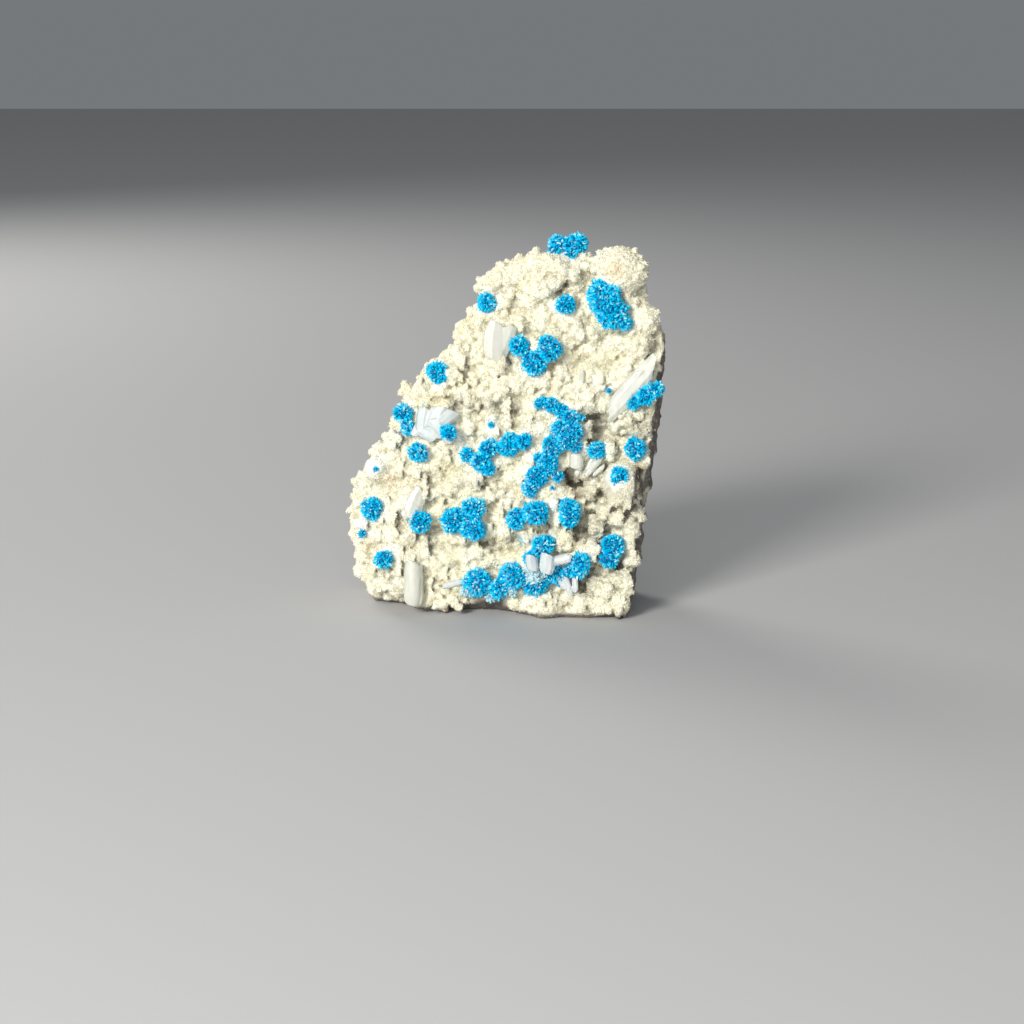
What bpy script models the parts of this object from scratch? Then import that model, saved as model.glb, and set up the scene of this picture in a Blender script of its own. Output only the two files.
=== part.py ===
"""Cavansite: blue crystal rosettes and clear blades on a zeolite-coated piece of rock.

The specimen stands on its flat foot. Z is up, X runs to the right of the show face and the show face looks along -Y.
Sizes and places are in millimetres and are turned into metres where they are used. A place on the show face is
written as (x, z) on the mean front plane, and is carried to the real surface along the line from view_point.
"""

import math

import bmesh
import bpy
import numpy
from mathutils import Matrix, Vector
from mathutils.bvhtree import BVHTree

MM = 0.001
SEED = 4599
COLLECTION = "cavansite"

# Line of sight that the show face is laid out along
VIEW_TILT_DEG = 13.0
VIEW_DISTANCE = 820.0
VIEW_TARGET = (1.4, 0.0, 30.0)

# Mean front and back planes of the slab, each y = start + slope_x * x + slope_z * z
FRONT_PLANE = (-27.0, -0.10, 0.15)
BACK_PLANE = (30.0, 0.0, -0.10)

# Outline of the rock as seen on the front plane, anticlockwise from the left foot
OUTLINE = (
    (-47.5, -6.0), (-20.0, -7.0), (14.0, -8.0), (42.0, -8.0), (44.0, 6.0), (46.5, 15.0), (47.5, 26.0),
    (48.0, 36.0), (50.0, 46.0), (53.0, 56.0), (56.0, 67.0), (57.5, 77.0), (57.0, 90.0), (52.5, 100.5),
    (47.5, 106.5), (48.0, 117.0), (43.0, 123.5), (35.5, 122.5), (31.0, 119.0), (24.0, 118.5), (16.0, 121.0),
    (9.0, 121.0), (0.0, 117.0), (-6.5, 112.5), (-11.5, 105.0), (-14.0, 98.0), (-19.0, 89.5), (-28.0, 82.0),
    (-34.5, 74.0), (-36.8, 65.0), (-39.0, 57.0), (-47.5, 51.0), (-52.0, 42.0), (-54.5, 32.0), (-55.5, 20.0),
    (-51.5, 8.0),
)
SLAB_HALF_DEPTH = 30.0
RIM_ROUND = 9.0
RIM_STEPS = 3
OUTLINE_INSET = 1.7
OUTLINE_MERGE = 0.01

# The crest falls away behind the show face, ever more towards the top
CREST_START = 70.0
CREST_TOP = 122.0
CREST_LEAD = 4.5
CREST_FALL = 0.55

# Named forms of the show face: (x, z, radius, how far the centre stands out of the surface)
BIG_LUMPS = {
    "head": (37.7, 115.6, 9.0, -3.5),
    "head_left": (33.0, 117.5, 5.0, -1.5),
    "head_right": (42.0, 115.0, 6.0, -2.0),
    "shoulder": (46.1, 100.1, 6.0, -2.0),
    "shoulder_low": (44.0, 92.0, 6.0, -3.0),
    "crest_left": (9.2, 118.6, 4.6, -1.6),
    "crest_mid": (14.9, 116.6, 5.2, -2.0),
    "brow": (-1.0, 115.0, 4.8, -1.8),
    "brow_left": (-6.0, 110.6, 4.8, -1.8),
    "brow_low": (10.8, 110.2, 6.5, -3.0),
    "cap_seat": (33.5, 104.0, 9.0, -5.5),
    "small_seat": (19.5, 103.0, 6.0, -3.0),
    "blade_seat": (47.0, 80.0, 7.5, -4.5),
    "disc_seat": (39.0, 47.0, 6.2, -1.5),
    "hollow_knob": (30.2, 37.4, 4.4, -0.8),
    "tall_seat": (21.0, 33.5, 6.0, -3.0),
    "river_knob": (15.8, 38.9, 3.0, -0.8),
    "right_knob": (40.7, 31.6, 4.0, -1.2),
    "right_low": (42.0, 24.0, 4.5, -1.8),
    "right_foot": (36.4, 7.9, 8.5, -4.0),
    "mid_foot": (25.0, 5.0, 7.0, -3.2),
    "left_foot": (13.0, 3.0, 6.5, -3.0),
    "inner_lump": (28.6, 23.0, 3.6, -1.0),
    "inner_lump_right": (31.6, 27.0, 3.0, -1.0),
    "right_ball_seat": (43.0, 55.0, 6.0, -3.0),
    "trefoil_seat": (-14.0, 31.0, 8.0, -5.5),
    "river_seat": (18.0, 63.0, 8.0, -5.5),
    "patch_left": (-45.5, 48.5, 5.0, -2.2),
    "edge_seat": (-34.0, 65.0, 4.5, -2.5),
    "belly_left": (-44.0, 26.0, 9.0, -6.0),
    "belly": (-33.0, 13.0, 9.0, -6.0),
    "chest": (-10.0, 95.0, 9.0, -6.5),
}

# Hollows of the show face: (x, z, radius along x, radius along z, depth), set back by a share of their depth
HOLLOW_SETBACK = 0.15
HOLLOWS = {
    "crown_valley": (19.5, 111.0, 2.6, 5.5, 5.0),
    "crest_recess": (12.5, 113.6, 2.4, 2.0, 3.0),
    "cap_valley": (26.5, 112.0, 3.0, 6.0, 4.5),
    "right_pit_top": (29.5, 66.5, 4.2, 3.4, 7.0),
    "right_pit": (32.0, 61.5, 4.6, 4.2, 8.5),
    "disc_pit": (23.5, 46.0, 4.4, 4.4, 6.5),
    "knob_overhang": (29.0, 30.5, 7.5, 3.2, 8.0),
    "pair_shadow": (13.5, 28.5, 4.0, 2.4, 3.0),
    "chain_recess": (29.0, 12.5, 6.0, 3.0, 5.5),
    "crease": (-8.0, 69.6, 10.0, 1.8, 3.2),
    "crease_right": (2.0, 66.0, 5.0, 1.6, 2.6),
    "trefoil_shadow": (-6.5, 23.5, 3.5, 2.6, 3.6),
    "ball_shadow": (-25.0, 26.5, 3.0, 2.2, 2.6),
    "blade_shadow": (36.0, 66.0, 3.6, 2.6, 5.0),
    "flank_notch": (47.5, 41.5, 3.4, 3.6, 6.0),
    "neck_notch": (49.5, 107.5, 3.0, 1.6, 8.0),
}

# Small lumps scattered over the coated faces
SMALL_LUMPS = 430
SMALL_LUMP_RADIUS = (2.3, 4.8)
SMALL_LUMP_SINK = (-0.1, 0.4)
SMALL_LUMP_SQUASH = (0.8, 1.15)
LUMP_SUBDIVISIONS = 2
COATED_FACING = -0.25

# Mesh steps of the rock
FIRST_VOXEL = 2.2
SHAPE_VOXEL = 1.3
ROUGHNESS_SCALE = 7.0
ROUGHNESS_HEIGHT = 2.2
GRAIN_SCALE = 3.0
GRAIN_HEIGHT = 0.9
BREAK_ROUGHNESS_SCALE = 13.0
BREAK_ROUGHNESS_HEIGHT = 2.4
MATRIX_TRIANGLES = 4300

# Broken faces of the back and the right flank: a point on the break and the way it faces
BREAKS = {
    "back": ((0.0, 25.0, 30.0), (0.04, 1.0, 0.06)),
    "back_top": ((14.0, 16.0, 86.0), (0.10, 1.0, 0.36)),
    "back_right": ((40.0, 6.0, 50.0), (0.62, 1.0, 0.08)),
    "back_left": ((-40.0, 14.0, 30.0), (-0.75, 1.0, 0.12)),
    "back_low": ((-6.0, 25.0, 9.0), (-0.12, 1.0, -0.5)),
    "back_corner": ((22.0, 20.0, 18.0), (0.35, 1.0, -0.22)),
    "flank": ((55.4, -5.0, 85.0), (1.0, -0.25, -0.10)),
}
BREAK_BLOCK = 120.0

# Hollows under the left front edge, cut from the foot: centre and radii
UNDERCUTS = (
    ((-50.0, -25.0, -1.0), (23.0, 17.0, 7.5)),
    ((-13.0, -31.0, 0.0), (21.0, 12.0, 3.4)),
)

# Gap kept between pieces that touch, and how near two points count as one
CONTACT_GAP = 0.30
MERGE_DISTANCE = 0.005

# Cavansite clusters: each ball is (x, z, radius) or (x, z, radius, y) where it stands past the rim
BALL_RISE = 0.45
BALL_CORE = 0.88
SPIKE_REACH = (1.0, 1.2)
FINE_BALL_RADIUS = 4.8
SMOOTH_BALL_RADIUS = 2.0
TRIANGLES_PER_BALL = 42
BRIDGE_SPACING = 0.72
BRIDGE_RADIUS = 0.62
CLUSTERS = {
    "cavansite_crown": ((16.6, 124.3, 3.5, -6.5), (23.9, 125.0, 3.4, -5.5), (21.3, 120.7, 2.6, -8.0)),
    "cavansite_upper_left": ((-7.2, 105.0, 3.5),),
    "cavansite_upper_small": ((19.5, 104.9, 3.2),),
    "cavansite_oval_cap": ((31.2, 108.4, 4.7), (33.7, 104.8, 5.6), (36.2, 101.2, 4.8)),
    "cavansite_vee": ((3.9, 90.7, 3.4), (8.8, 85.0, 4.0), (13.9, 90.2, 4.2)),
    "cavansite_left_shoulder": ((-23.8, 81.4, 3.7),),
    "cavansite_right_fan": ((42.9, 73.0, 2.9), (46.4, 74.8, 3.2), (49.6, 76.6, 2.9)),
    "cavansite_right_speck": ((34.1, 76.4, 1.1),),
    "cavansite_left_edge_pair": ((-35.7, 67.3, 3.4), (-34.0, 62.4, 2.7)),
    "cavansite_star": ((-20.1, 61.7, 2.8),),
    "cavansite_left_middle": ((-30.4, 54.3, 3.4),),
    "cavansite_centre_spray": ((-5.7, 64.4, 1.5),),
    "cavansite_chain": (
        (-14.0, 53.6, 2.6), (-8.9, 52.0, 3.2), (-7.1, 49.9, 2.6), (-6.5, 56.3, 3.2), (0.3, 57.6, 3.7),
        (5.3, 58.8, 3.0),
    ),
    "cavansite_river": (
        (11.2, 71.8, 2.2), (14.4, 71.4, 2.5), (18.1, 69.1, 2.8), (21.4, 66.5, 3.3), (22.3, 62.4, 3.6),
        (20.0, 59.7, 3.9), (15.3, 57.6, 3.9), (13.5, 51.4, 3.9), (9.6, 47.1, 3.9), (7.5, 43.1, 3.2),
    ),
    "cavansite_river_speck": ((15.2, 43.6, 1.1),),
    "cavansite_hollow": ((30.0, 56.1, 3.2),),
    "cavansite_right_upper": ((43.1, 57.0, 3.7),),
    "cavansite_disc": ((37.6, 47.9, 3.4),),
    "cavansite_left_spray": ((-45.2, 48.5, 1.3),),
    "cavansite_far_left": ((-46.7, 35.2, 3.9),),
    "cavansite_left_fan": ((-50.1, 26.4, 1.9),),
    "cavansite_lower_left": ((-42.6, 18.3, 3.2),),
    "cavansite_left_ball": ((-29.8, 31.1, 3.7),),
    "cavansite_trefoil": ((-11.7, 35.8, 3.9), (-18.3, 31.9, 4.6), (-11.7, 28.8, 4.1)),
    "cavansite_pair": ((9.3, 35.1, 4.4), (3.0, 32.7, 3.4)),
    "cavansite_tall": ((21.0, 35.9, 3.9), (21.0, 33.6, 3.7)),
    "cavansite_bottom_chain": (
        (11.8, 24.1, 3.7), (7.9, 19.0, 2.9), (-10.3, 10.7, 4.9), (-3.2, 8.4, 3.6), (1.4, 13.2, 4.9),
        (9.4, 11.0, 4.4), (17.3, 14.2, 3.6), (24.2, 17.7, 4.1),
    ),
    "cavansite_lower_right": ((35.3, 24.4, 4.1), (34.7, 19.9, 3.1)),
}

# Clear and white crystals: blades are (x, z, length, width, thickness, lean, rise), lean in degrees from upright
BLADE_SIDES = 6
BLADE_WEDGE = 0.35
BLADE_TILT_DEG = -8.0
CRYSTALS = {
    "clear_plate": ((-4.0, 91.4, 12.5, 9.5, 3.6, 14.0, 1.4), (0.4, 92.6, 9.5, 6.0, 3.0, 52.0, 0.8)),
    "long_white_blade": ((41.8, 77.2, 23.0, 5.8, 4.6, 40.0, 1.8),),
    "clear_block_group": (
        (-27.6, 66.4, 9.5, 5.2, 4.6, 14.0, 1.8), (-24.0, 65.0, 9.5, 5.6, 5.0, -26.0, 2.2),
        (-20.6, 63.6, 8.0, 5.0, 4.4, 54.0, 2.0),
    ),
    "clear_prism": ((-32.7, 10.4, 14.6, 6.6, 6.0, 2.0, 2.2),),
    "pale_blade": ((-32.5, 36.8, 9.6, 4.8, 3.6, 32.0, 1.2),),
    "white_crystal_group": (
        (13.4, 17.2, 6.6, 4.2, 3.8, 4.0, 6.2), (17.2, 18.6, 8.4, 3.8, 3.4, 66.0, 6.2),
        (8.8, 17.0, 5.6, 3.8, 3.4, -30.0, 5.8),
    ),
    "small_white_blade": ((-19.0, 10.2, 6.4, 2.4, 2.4, 78.0, 1.0),),
    "round_white_crystal": ((23.2, 52.6, 5.2, 5.2, 5.0, 8.0, 2.4),),
    "hollow_blade": ((28.6, 51.0, 9.0, 3.0, 3.0, 44.0, 2.4),),
    "small_white_needle": ((25.0, 81.2, 3.8, 1.8, 2.0, 3.0, 0.8),),
    "hanging_blades": ((20.4, 10.2, 7.0, 2.8, 2.6, -18.0, 2.4), (22.8, 10.0, 6.4, 2.6, 2.4, 14.0, 2.2)),
}

# Principled material values: base colour, roughness, metallic, transmission
MATRIX_LOOK = ((0.86, 0.82, 0.72, 1.0), 0.75, 0.0, 0.0)
CAVANSITE_LOOK = ((0.02, 0.25, 0.62, 1.0), 0.32, 0.0, 0.0)
CLEAR_LOOK = ((0.86, 0.90, 0.86, 1.0), 0.12, 0.0, 0.85)


def mm(x, y, z):
    """A point or size given in millimetres, as a vector in metres."""
    return Vector((x, y, z)) * MM


def plane_y(plane, x, z):
    """Depth in millimetres of a (start, slope_x, slope_z) plane at x, z in millimetres."""
    return plane[0] + plane[1] * x + plane[2] * z


def view_point():
    """The point that the show face is laid out from."""
    tilt = math.radians(VIEW_TILT_DEG)
    away = Vector((0.0, -math.cos(tilt), math.sin(tilt))) * VIEW_DISTANCE
    return (Vector(VIEW_TARGET) + away) * MM


def clear_scene():
    """Remove every object that the new scene starts with."""
    for item in list(bpy.data.objects):
        bpy.data.objects.remove(item, do_unlink=True)


def new_collection(name):
    """A collection under the scene's own."""
    group = bpy.data.collections.new(name)
    bpy.context.scene.collection.children.link(group)
    return group


def new_material(name, look):
    """A Principled material with the given colour, roughness, metallic and transmission values."""
    colour, roughness, metallic, transmission = look
    material = bpy.data.materials.new(name)
    material.use_nodes = True
    shader = material.node_tree.nodes["Principled BSDF"]
    shader.inputs["Base Color"].default_value = colour
    shader.inputs["Roughness"].default_value = roughness
    shader.inputs["Metallic"].default_value = metallic
    shader.inputs["Transmission Weight"].default_value = transmission
    material.diffuse_color = colour
    return material


def object_from_bmesh(name, shape, group):
    """A new object in a collection that takes over a bmesh."""
    mesh = bpy.data.meshes.new(name)
    shape.to_mesh(mesh)
    shape.free()
    item = bpy.data.objects.new(name, mesh)
    group.objects.link(item)
    return item


def apply_modifiers(item):
    """Replace an object's mesh by its evaluated one, in world space."""
    depsgraph = bpy.context.evaluated_depsgraph_get()
    mesh = bpy.data.meshes.new_from_object(item.evaluated_get(depsgraph))
    mesh.transform(item.matrix_world)
    item.modifiers.clear()
    item.data = mesh
    item.matrix_world = Matrix.Identity(4)


def remesh(item, voxel):
    """Rebuild an object as one closed skin at the given voxel size in millimetres."""
    step = item.modifiers.new("Skin", "REMESH")
    step.mode = "VOXEL"
    step.voxel_size = voxel * MM
    apply_modifiers(item)


def boolean(item, others, operation):
    """Add, take away or keep the common part of a collection of closed objects."""
    step = item.modifiers.new(operation.title(), "BOOLEAN")
    step.operation = operation
    step.solver = "EXACT"
    step.operand_type = "COLLECTION"
    step.collection = others
    apply_modifiers(item)


def remove_collection(group):
    """Delete a helper collection and what is in it."""
    for item in list(group.objects):
        bpy.data.objects.remove(item, do_unlink=True)
    bpy.data.collections.remove(group)


def keep_largest_body(item):
    """Delete every loose body but the one with the most points."""
    shape = bmesh.new()
    shape.from_mesh(item.data)
    unseen = set(shape.verts)
    bodies = []
    while unseen:
        front = [unseen.pop()]
        body = set(front)
        while front:
            vertex = front.pop()
            for edge in vertex.link_edges:
                other = edge.other_vert(vertex)
                if other in unseen:
                    unseen.remove(other)
                    body.add(other)
                    front.append(other)
        bodies.append(body)
    bodies.sort(key=lambda body: -len(body))
    loose = [vertex for body in bodies[1:] for vertex in body]
    bmesh.ops.delete(shape, geom=loose, context="VERTS")
    shape.to_mesh(item.data)
    shape.free()


def triangulate(item):
    """Turn an object's faces into triangles, merge points that lie on each other and close any gap left."""
    shape = bmesh.new()
    shape.from_mesh(item.data)
    bmesh.ops.remove_doubles(shape, verts=shape.verts, dist=MERGE_DISTANCE * MM)
    bmesh.ops.dissolve_degenerate(shape, edges=shape.edges, dist=MERGE_DISTANCE * MM)
    bmesh.ops.triangulate(shape, faces=shape.faces)
    open_edges = [edge for edge in shape.edges if edge.is_boundary]
    if open_edges:
        filled = bmesh.ops.holes_fill(shape, edges=open_edges, sides=0)
        bmesh.ops.triangulate(shape, faces=filled["faces"])
    shape.to_mesh(item.data)
    shape.free()


def simplify(item, triangles):
    """Reduce an object to about the given number of triangles, if it has more."""
    triangulate(item)
    count = len(item.data.polygons)
    if count > triangles:
        step = item.modifiers.new("Facets", "DECIMATE")
        step.ratio = triangles / count
        apply_modifiers(item)


def surface_tree(item):
    """A search tree over an object's faces."""
    return BVHTree.FromObject(item, bpy.context.evaluated_depsgraph_get())


def on_show_face(tree, x, z):
    """Where the line of sight through (x, z) on the front plane meets the surface, and the line's direction."""
    eye = view_point()
    through = mm(x, plane_y(FRONT_PLANE, x, z), z)
    sight = (through - eye).normalized()
    point, _, _, _ = tree.ray_cast(eye, sight)
    if point is None:
        point, _, _, _ = tree.find_nearest(through)
    return point, sight


def rock_slab(group):
    """The rock's outline drawn as a curve, thickened and bent to its front and back planes."""
    curve = bpy.data.curves.new("rock_outline", "CURVE")
    curve.dimensions = "2D"
    curve.fill_mode = "BOTH"
    curve.extrude = (SLAB_HALF_DEPTH - RIM_ROUND) * MM
    curve.bevel_depth = RIM_ROUND * MM
    curve.bevel_resolution = RIM_STEPS
    curve.offset = -(RIM_ROUND + OUTLINE_INSET) * MM
    line = curve.splines.new("POLY")
    line.points.add(len(OUTLINE) - 1)
    for point, (x, z) in zip(line.points, OUTLINE):
        point.co = (x * MM, z * MM, 0.0, 1.0)
    line.use_cyclic_u = True
    drawn = bpy.data.objects.new("rock_outline", curve)
    group.objects.link(drawn)
    drawn.rotation_euler = (math.radians(90.0), 0.0, 0.0)
    bpy.context.view_layer.update()
    mesh = bpy.data.meshes.new_from_object(drawn.evaluated_get(bpy.context.evaluated_depsgraph_get()))
    mesh.transform(drawn.matrix_world)
    bpy.data.objects.remove(drawn, do_unlink=True)
    shape = bmesh.new()
    shape.from_mesh(mesh)
    bmesh.ops.remove_doubles(shape, verts=shape.verts, dist=OUTLINE_MERGE * MM)
    bmesh.ops.recalc_face_normals(shape, faces=shape.faces)
    slab = object_from_bmesh("matrix", shape, group)
    remesh(slab, FIRST_VOXEL)
    for vertex in slab.data.vertices:
        x, y, z = vertex.co / MM
        share = (y + SLAB_HALF_DEPTH) / (2.0 * SLAB_HALF_DEPTH)
        front = plane_y(FRONT_PLANE, x, z)
        back = plane_y(BACK_PLANE, x, z)
        depth = front + share * (back - front)
        fall = CREST_FALL * max(0.0, depth - front - CREST_LEAD)
        height = min(1.0, max(0.0, (z - CREST_START) / (CREST_TOP - CREST_START)))
        vertex.co = mm(x, depth, z - fall * height * height)
    return slab


def add_ball(name, centre, radii, group):
    """An icosphere with its own radius along each axis, in metres."""
    shape = bmesh.new()
    bmesh.ops.create_icosphere(shape, subdivisions=LUMP_SUBDIVISIONS, radius=1.0)
    bmesh.ops.scale(shape, vec=radii, verts=shape.verts)
    bmesh.ops.translate(shape, vec=centre, verts=shape.verts)
    return object_from_bmesh(name, shape, group)


def grow_big_lumps(slab, group):
    """Place the named lumps of the show face on the slab."""
    tree = surface_tree(slab)
    for name, (x, z, radius, rise) in BIG_LUMPS.items():
        point, sight = on_show_face(tree, x, z)
        centre = point - sight * rise * MM
        add_ball(name, centre, Vector((radius, radius, radius)) * MM, group)


def grow_small_lumps(slab, group, rng):
    """Scatter small sunken balls over the faces that the zeolite coat covers."""
    slab.data.calc_loop_triangles()
    faces = [face for face in slab.data.polygons if -face.normal.y > COATED_FACING]
    areas = numpy.array([face.area for face in faces])
    picks = rng.choice(len(faces), size=SMALL_LUMPS, p=areas / areas.sum())
    for index, pick in enumerate(picks):
        face = faces[int(pick)]
        radius = rng.uniform(*SMALL_LUMP_RADIUS) * MM
        centre = face.center - face.normal * radius * rng.uniform(*SMALL_LUMP_SINK)
        squash = rng.uniform(*SMALL_LUMP_SQUASH, 3)
        add_ball(f"lump_{index}", centre, Vector(squash) * radius, group)


def scoop_hollows(rock):
    """Cut the named hollows into the show face."""
    scoops = new_collection("hollow_cutters")
    tree = surface_tree(rock)
    for name, (x, z, wide, high, depth) in HOLLOWS.items():
        point, _ = on_show_face(tree, x, z)
        centre = point + mm(0.0, HOLLOW_SETBACK * depth, 0.0)
        add_ball(name, centre, mm(wide, depth, high), scoops)
    boolean(rock, scoops, "DIFFERENCE")
    remove_collection(scoops)


def roughen(rock, scale, height, basis):
    """Push the skin in and out by a cloud pattern."""
    pattern = bpy.data.textures.new(f"rock_{basis.lower()}", "CLOUDS")
    pattern.noise_scale = scale * MM
    pattern.noise_depth = 2
    pattern.noise_basis = basis
    step = rock.modifiers.new("Roughen", "DISPLACE")
    step.texture = pattern
    step.texture_coords = "LOCAL"
    step.mid_level = 0.5
    step.strength = height * MM
    apply_modifiers(rock)


def add_block(name, point, facing, group):
    """A big block that stands on the plane through a point, on the side that the plane faces."""
    shape = bmesh.new()
    bmesh.ops.create_cube(shape, size=BREAK_BLOCK * 2.0 * MM)
    bmesh.ops.translate(shape, vec=mm(0.0, 0.0, BREAK_BLOCK), verts=shape.verts)
    turn = Vector(facing).to_track_quat("Z", "Y").to_matrix().to_4x4()
    bmesh.ops.transform(shape, matrix=Matrix.Translation(mm(*point)) @ turn, verts=shape.verts)
    return object_from_bmesh(name, shape, group)


def break_faces(rock):
    """Cut the rock along its broken faces."""
    cutters = new_collection("break_cutters")
    for name, (point, facing) in BREAKS.items():
        add_block(name, point, facing, cutters)
    boolean(rock, cutters, "DIFFERENCE")
    remove_collection(cutters)


def cut_foot(rock):
    """Cut the flat foot and the low hollows under the left front edge."""
    cutters = new_collection("foot_cutters")
    add_block("foot_plane", (0.0, 0.0, 0.0), (0.0, 0.0, -1.0), cutters)
    for index, (centre, radii) in enumerate(UNDERCUTS):
        add_ball(f"undercut_{index}", mm(*centre), mm(*radii), cutters)
    boolean(rock, cutters, "DIFFERENCE")
    remove_collection(cutters)


def build_matrix(group, rng):
    """The rock with its zeolite coat: slab, lumps, hollows, rough skin and flat foot."""
    rock = rock_slab(group)
    lumps = new_collection("rock_lumps")
    grow_big_lumps(rock, lumps)
    grow_small_lumps(rock, lumps, rng)
    shape = bmesh.new()
    shape.from_mesh(rock.data)
    for lump in lumps.objects:
        shape.from_mesh(lump.data)
    shape.to_mesh(rock.data)
    shape.free()
    remove_collection(lumps)
    remesh(rock, SHAPE_VOXEL)
    scoop_hollows(rock)
    remesh(rock, SHAPE_VOXEL)
    roughen(rock, ROUGHNESS_SCALE, ROUGHNESS_HEIGHT, "BLENDER_ORIGINAL")
    roughen(rock, GRAIN_SCALE, GRAIN_HEIGHT, "VORONOI_F1")
    break_faces(rock)
    remesh(rock, SHAPE_VOXEL)
    roughen(rock, BREAK_ROUGHNESS_SCALE, BREAK_ROUGHNESS_HEIGHT, "IMPROVED_PERLIN")
    simplify(rock, MATRIX_TRIANGLES)
    cut_foot(rock)
    keep_largest_body(rock)
    triangulate(rock)
    return rock


def grown_copy(item, gap, group):
    """A copy of a piece that is larger all round by the gap in millimetres."""
    copy = bpy.data.objects.new(item.name + "_grown", item.data.copy())
    group.objects.link(copy)
    step = copy.modifiers.new("Grow", "DISPLACE")
    step.mid_level = 0.0
    step.strength = gap * MM
    apply_modifiers(copy)
    return copy


def spiny_ball(name, centre, radius, group, rng):
    """A closed ball of short pointed crystals: an icosphere whose faces are drawn out to points unless tiny."""
    shape = bmesh.new()
    subdivisions = 2 if radius > FINE_BALL_RADIUS else 1
    bmesh.ops.create_icosphere(shape, subdivisions=subdivisions, radius=radius * BALL_CORE * MM)
    tips = []
    if radius > SMOOTH_BALL_RADIUS:
        tips = bmesh.ops.poke(shape, faces=shape.faces)["verts"]
    for tip in tips:
        tip.co = tip.co.normalized() * radius * rng.uniform(*SPIKE_REACH) * MM
    turn = Matrix.Rotation(rng.uniform(0.0, math.tau), 4, Vector(rng.normal(size=3)).normalized())
    bmesh.ops.transform(shape, matrix=turn, verts=shape.verts)
    bmesh.ops.translate(shape, vec=centre, verts=shape.verts)
    return object_from_bmesh(name, shape, group)


def unite(name, helpers, group):
    """Join a helper collection's closed objects into one body in the given collection."""
    first = helpers.objects[0]
    helpers.objects.unlink(first)
    group.objects.link(first)
    first.name = name
    if helpers.objects:
        boolean(first, helpers, "UNION")
    remove_collection(helpers)
    return first


def trim(piece, neighbours):
    """Cut a piece back from grown copies of its neighbours and keep the main body."""
    boolean(piece, neighbours, "DIFFERENCE")
    keep_largest_body(piece)
    triangulate(piece)


def ball_centre(ball, tree):
    """Where a ball's centre lies: on the rock's surface, raised by part of its radius."""
    x, z, radius = ball[:3]
    if len(ball) > 3:
        return mm(x, ball[3], z)
    point, sight = on_show_face(tree, x, z)
    return point - sight * radius * BALL_RISE * MM


def bridge_balls(placed):
    """Small balls that join each ball to the nearest one before it, where the two stand apart."""
    bridges = []
    for index, (centre, radius) in enumerate(placed[1:], start=1):
        near, near_radius = min(placed[:index], key=lambda other: (other[0] - centre).length)
        apart = (near - centre).length / MM
        if apart > BRIDGE_SPACING * (radius + near_radius):
            bridges.append(((near + centre) / 2.0, BRIDGE_RADIUS * min(radius, near_radius)))
    return bridges


def build_cluster(name, balls, group, tree, keep_out, rng):
    """One cavansite cluster: spiny balls grown together on the rock."""
    helpers = new_collection(name + "_balls")
    placed = [(ball_centre(ball, tree), ball[2]) for ball in balls]
    placed += bridge_balls(placed)
    for index, (centre, radius) in enumerate(placed):
        spiny_ball(f"{name}_{index}", centre, radius, helpers, rng)
    cluster = unite(name, helpers, group)
    if len(balls) > 1:
        simplify(cluster, TRIANGLES_PER_BALL * len(balls))
    trim(cluster, keep_out)
    return cluster


def blade(name, centre, length, width, thickness, turn, group):
    """A crystal blade with flat sides and a slanted wedge at each end."""
    shape = bmesh.new()
    bmesh.ops.create_cone(shape, cap_ends=True, segments=BLADE_SIDES, radius1=0.5, radius2=0.5, depth=1.0)
    for vertex in shape.verts:
        end = 1.0 if vertex.co.z > 0.0 else -1.0
        vertex.co.z -= end * BLADE_WEDGE * abs(vertex.co.x)
    bmesh.ops.scale(shape, vec=mm(width, thickness, length), verts=shape.verts)
    bmesh.ops.transform(shape, matrix=turn.to_4x4(), verts=shape.verts)
    bmesh.ops.translate(shape, vec=centre, verts=shape.verts)
    return object_from_bmesh(name, shape, group)


def build_crystal(name, blades, group, tree, keep_out):
    """A clear or white crystal, or several grown into each other."""
    helpers = new_collection(name + "_blades")
    for index, (x, z, length, width, thickness, lean, rise) in enumerate(blades):
        point, sight = on_show_face(tree, x, z)
        centre = point - sight * rise * MM
        tilt = Matrix.Rotation(math.radians(BLADE_TILT_DEG), 3, "X")
        turn = Matrix.Rotation(math.radians(lean), 3, "Y") @ tilt
        blade(f"{name}_{index}", centre, length, width, thickness, turn, helpers)
    crystal = unite(name, helpers, group)
    trim(crystal, keep_out)
    return crystal


def centre_on_foot(items):
    """Move all pieces so that the origin is at the middle of the box's bottom face."""
    corners = numpy.array([vertex.co for item in items for vertex in item.data.vertices])
    low = corners.min(axis=0)
    high = corners.max(axis=0)
    shift = Vector((-(low[0] + high[0]) / 2.0, -(low[1] + high[1]) / 2.0, -low[2]))
    for item in items:
        item.data.transform(Matrix.Translation(shift))


def main():
    """Build the specimen."""
    clear_scene()
    rng = numpy.random.default_rng(SEED)
    specimen = new_collection(COLLECTION)
    matrix_material = new_material("zeolite_matrix", MATRIX_LOOK)
    cavansite_material = new_material("cavansite_blue", CAVANSITE_LOOK)
    clear_material = new_material("clear_crystal", CLEAR_LOOK)

    rock = build_matrix(specimen, rng)
    rock.data.materials.append(matrix_material)
    tree = surface_tree(rock)
    keep_out = new_collection("grown_neighbours")
    grown_copy(rock, CONTACT_GAP, keep_out)

    pieces = [rock]
    for name, blades in CRYSTALS.items():
        crystal = build_crystal(name, blades, specimen, tree, keep_out)
        crystal.data.materials.clear()
        crystal.data.materials.append(clear_material)
        pieces.append(crystal)
    for crystal in pieces[1:]:
        grown_copy(crystal, CONTACT_GAP, keep_out)
    for name, balls in CLUSTERS.items():
        cluster = build_cluster(name, balls, specimen, tree, keep_out, rng)
        cluster.data.materials.clear()
        cluster.data.materials.append(cavansite_material)
        pieces.append(cluster)
    remove_collection(keep_out)
    centre_on_foot(pieces)


main()
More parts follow.
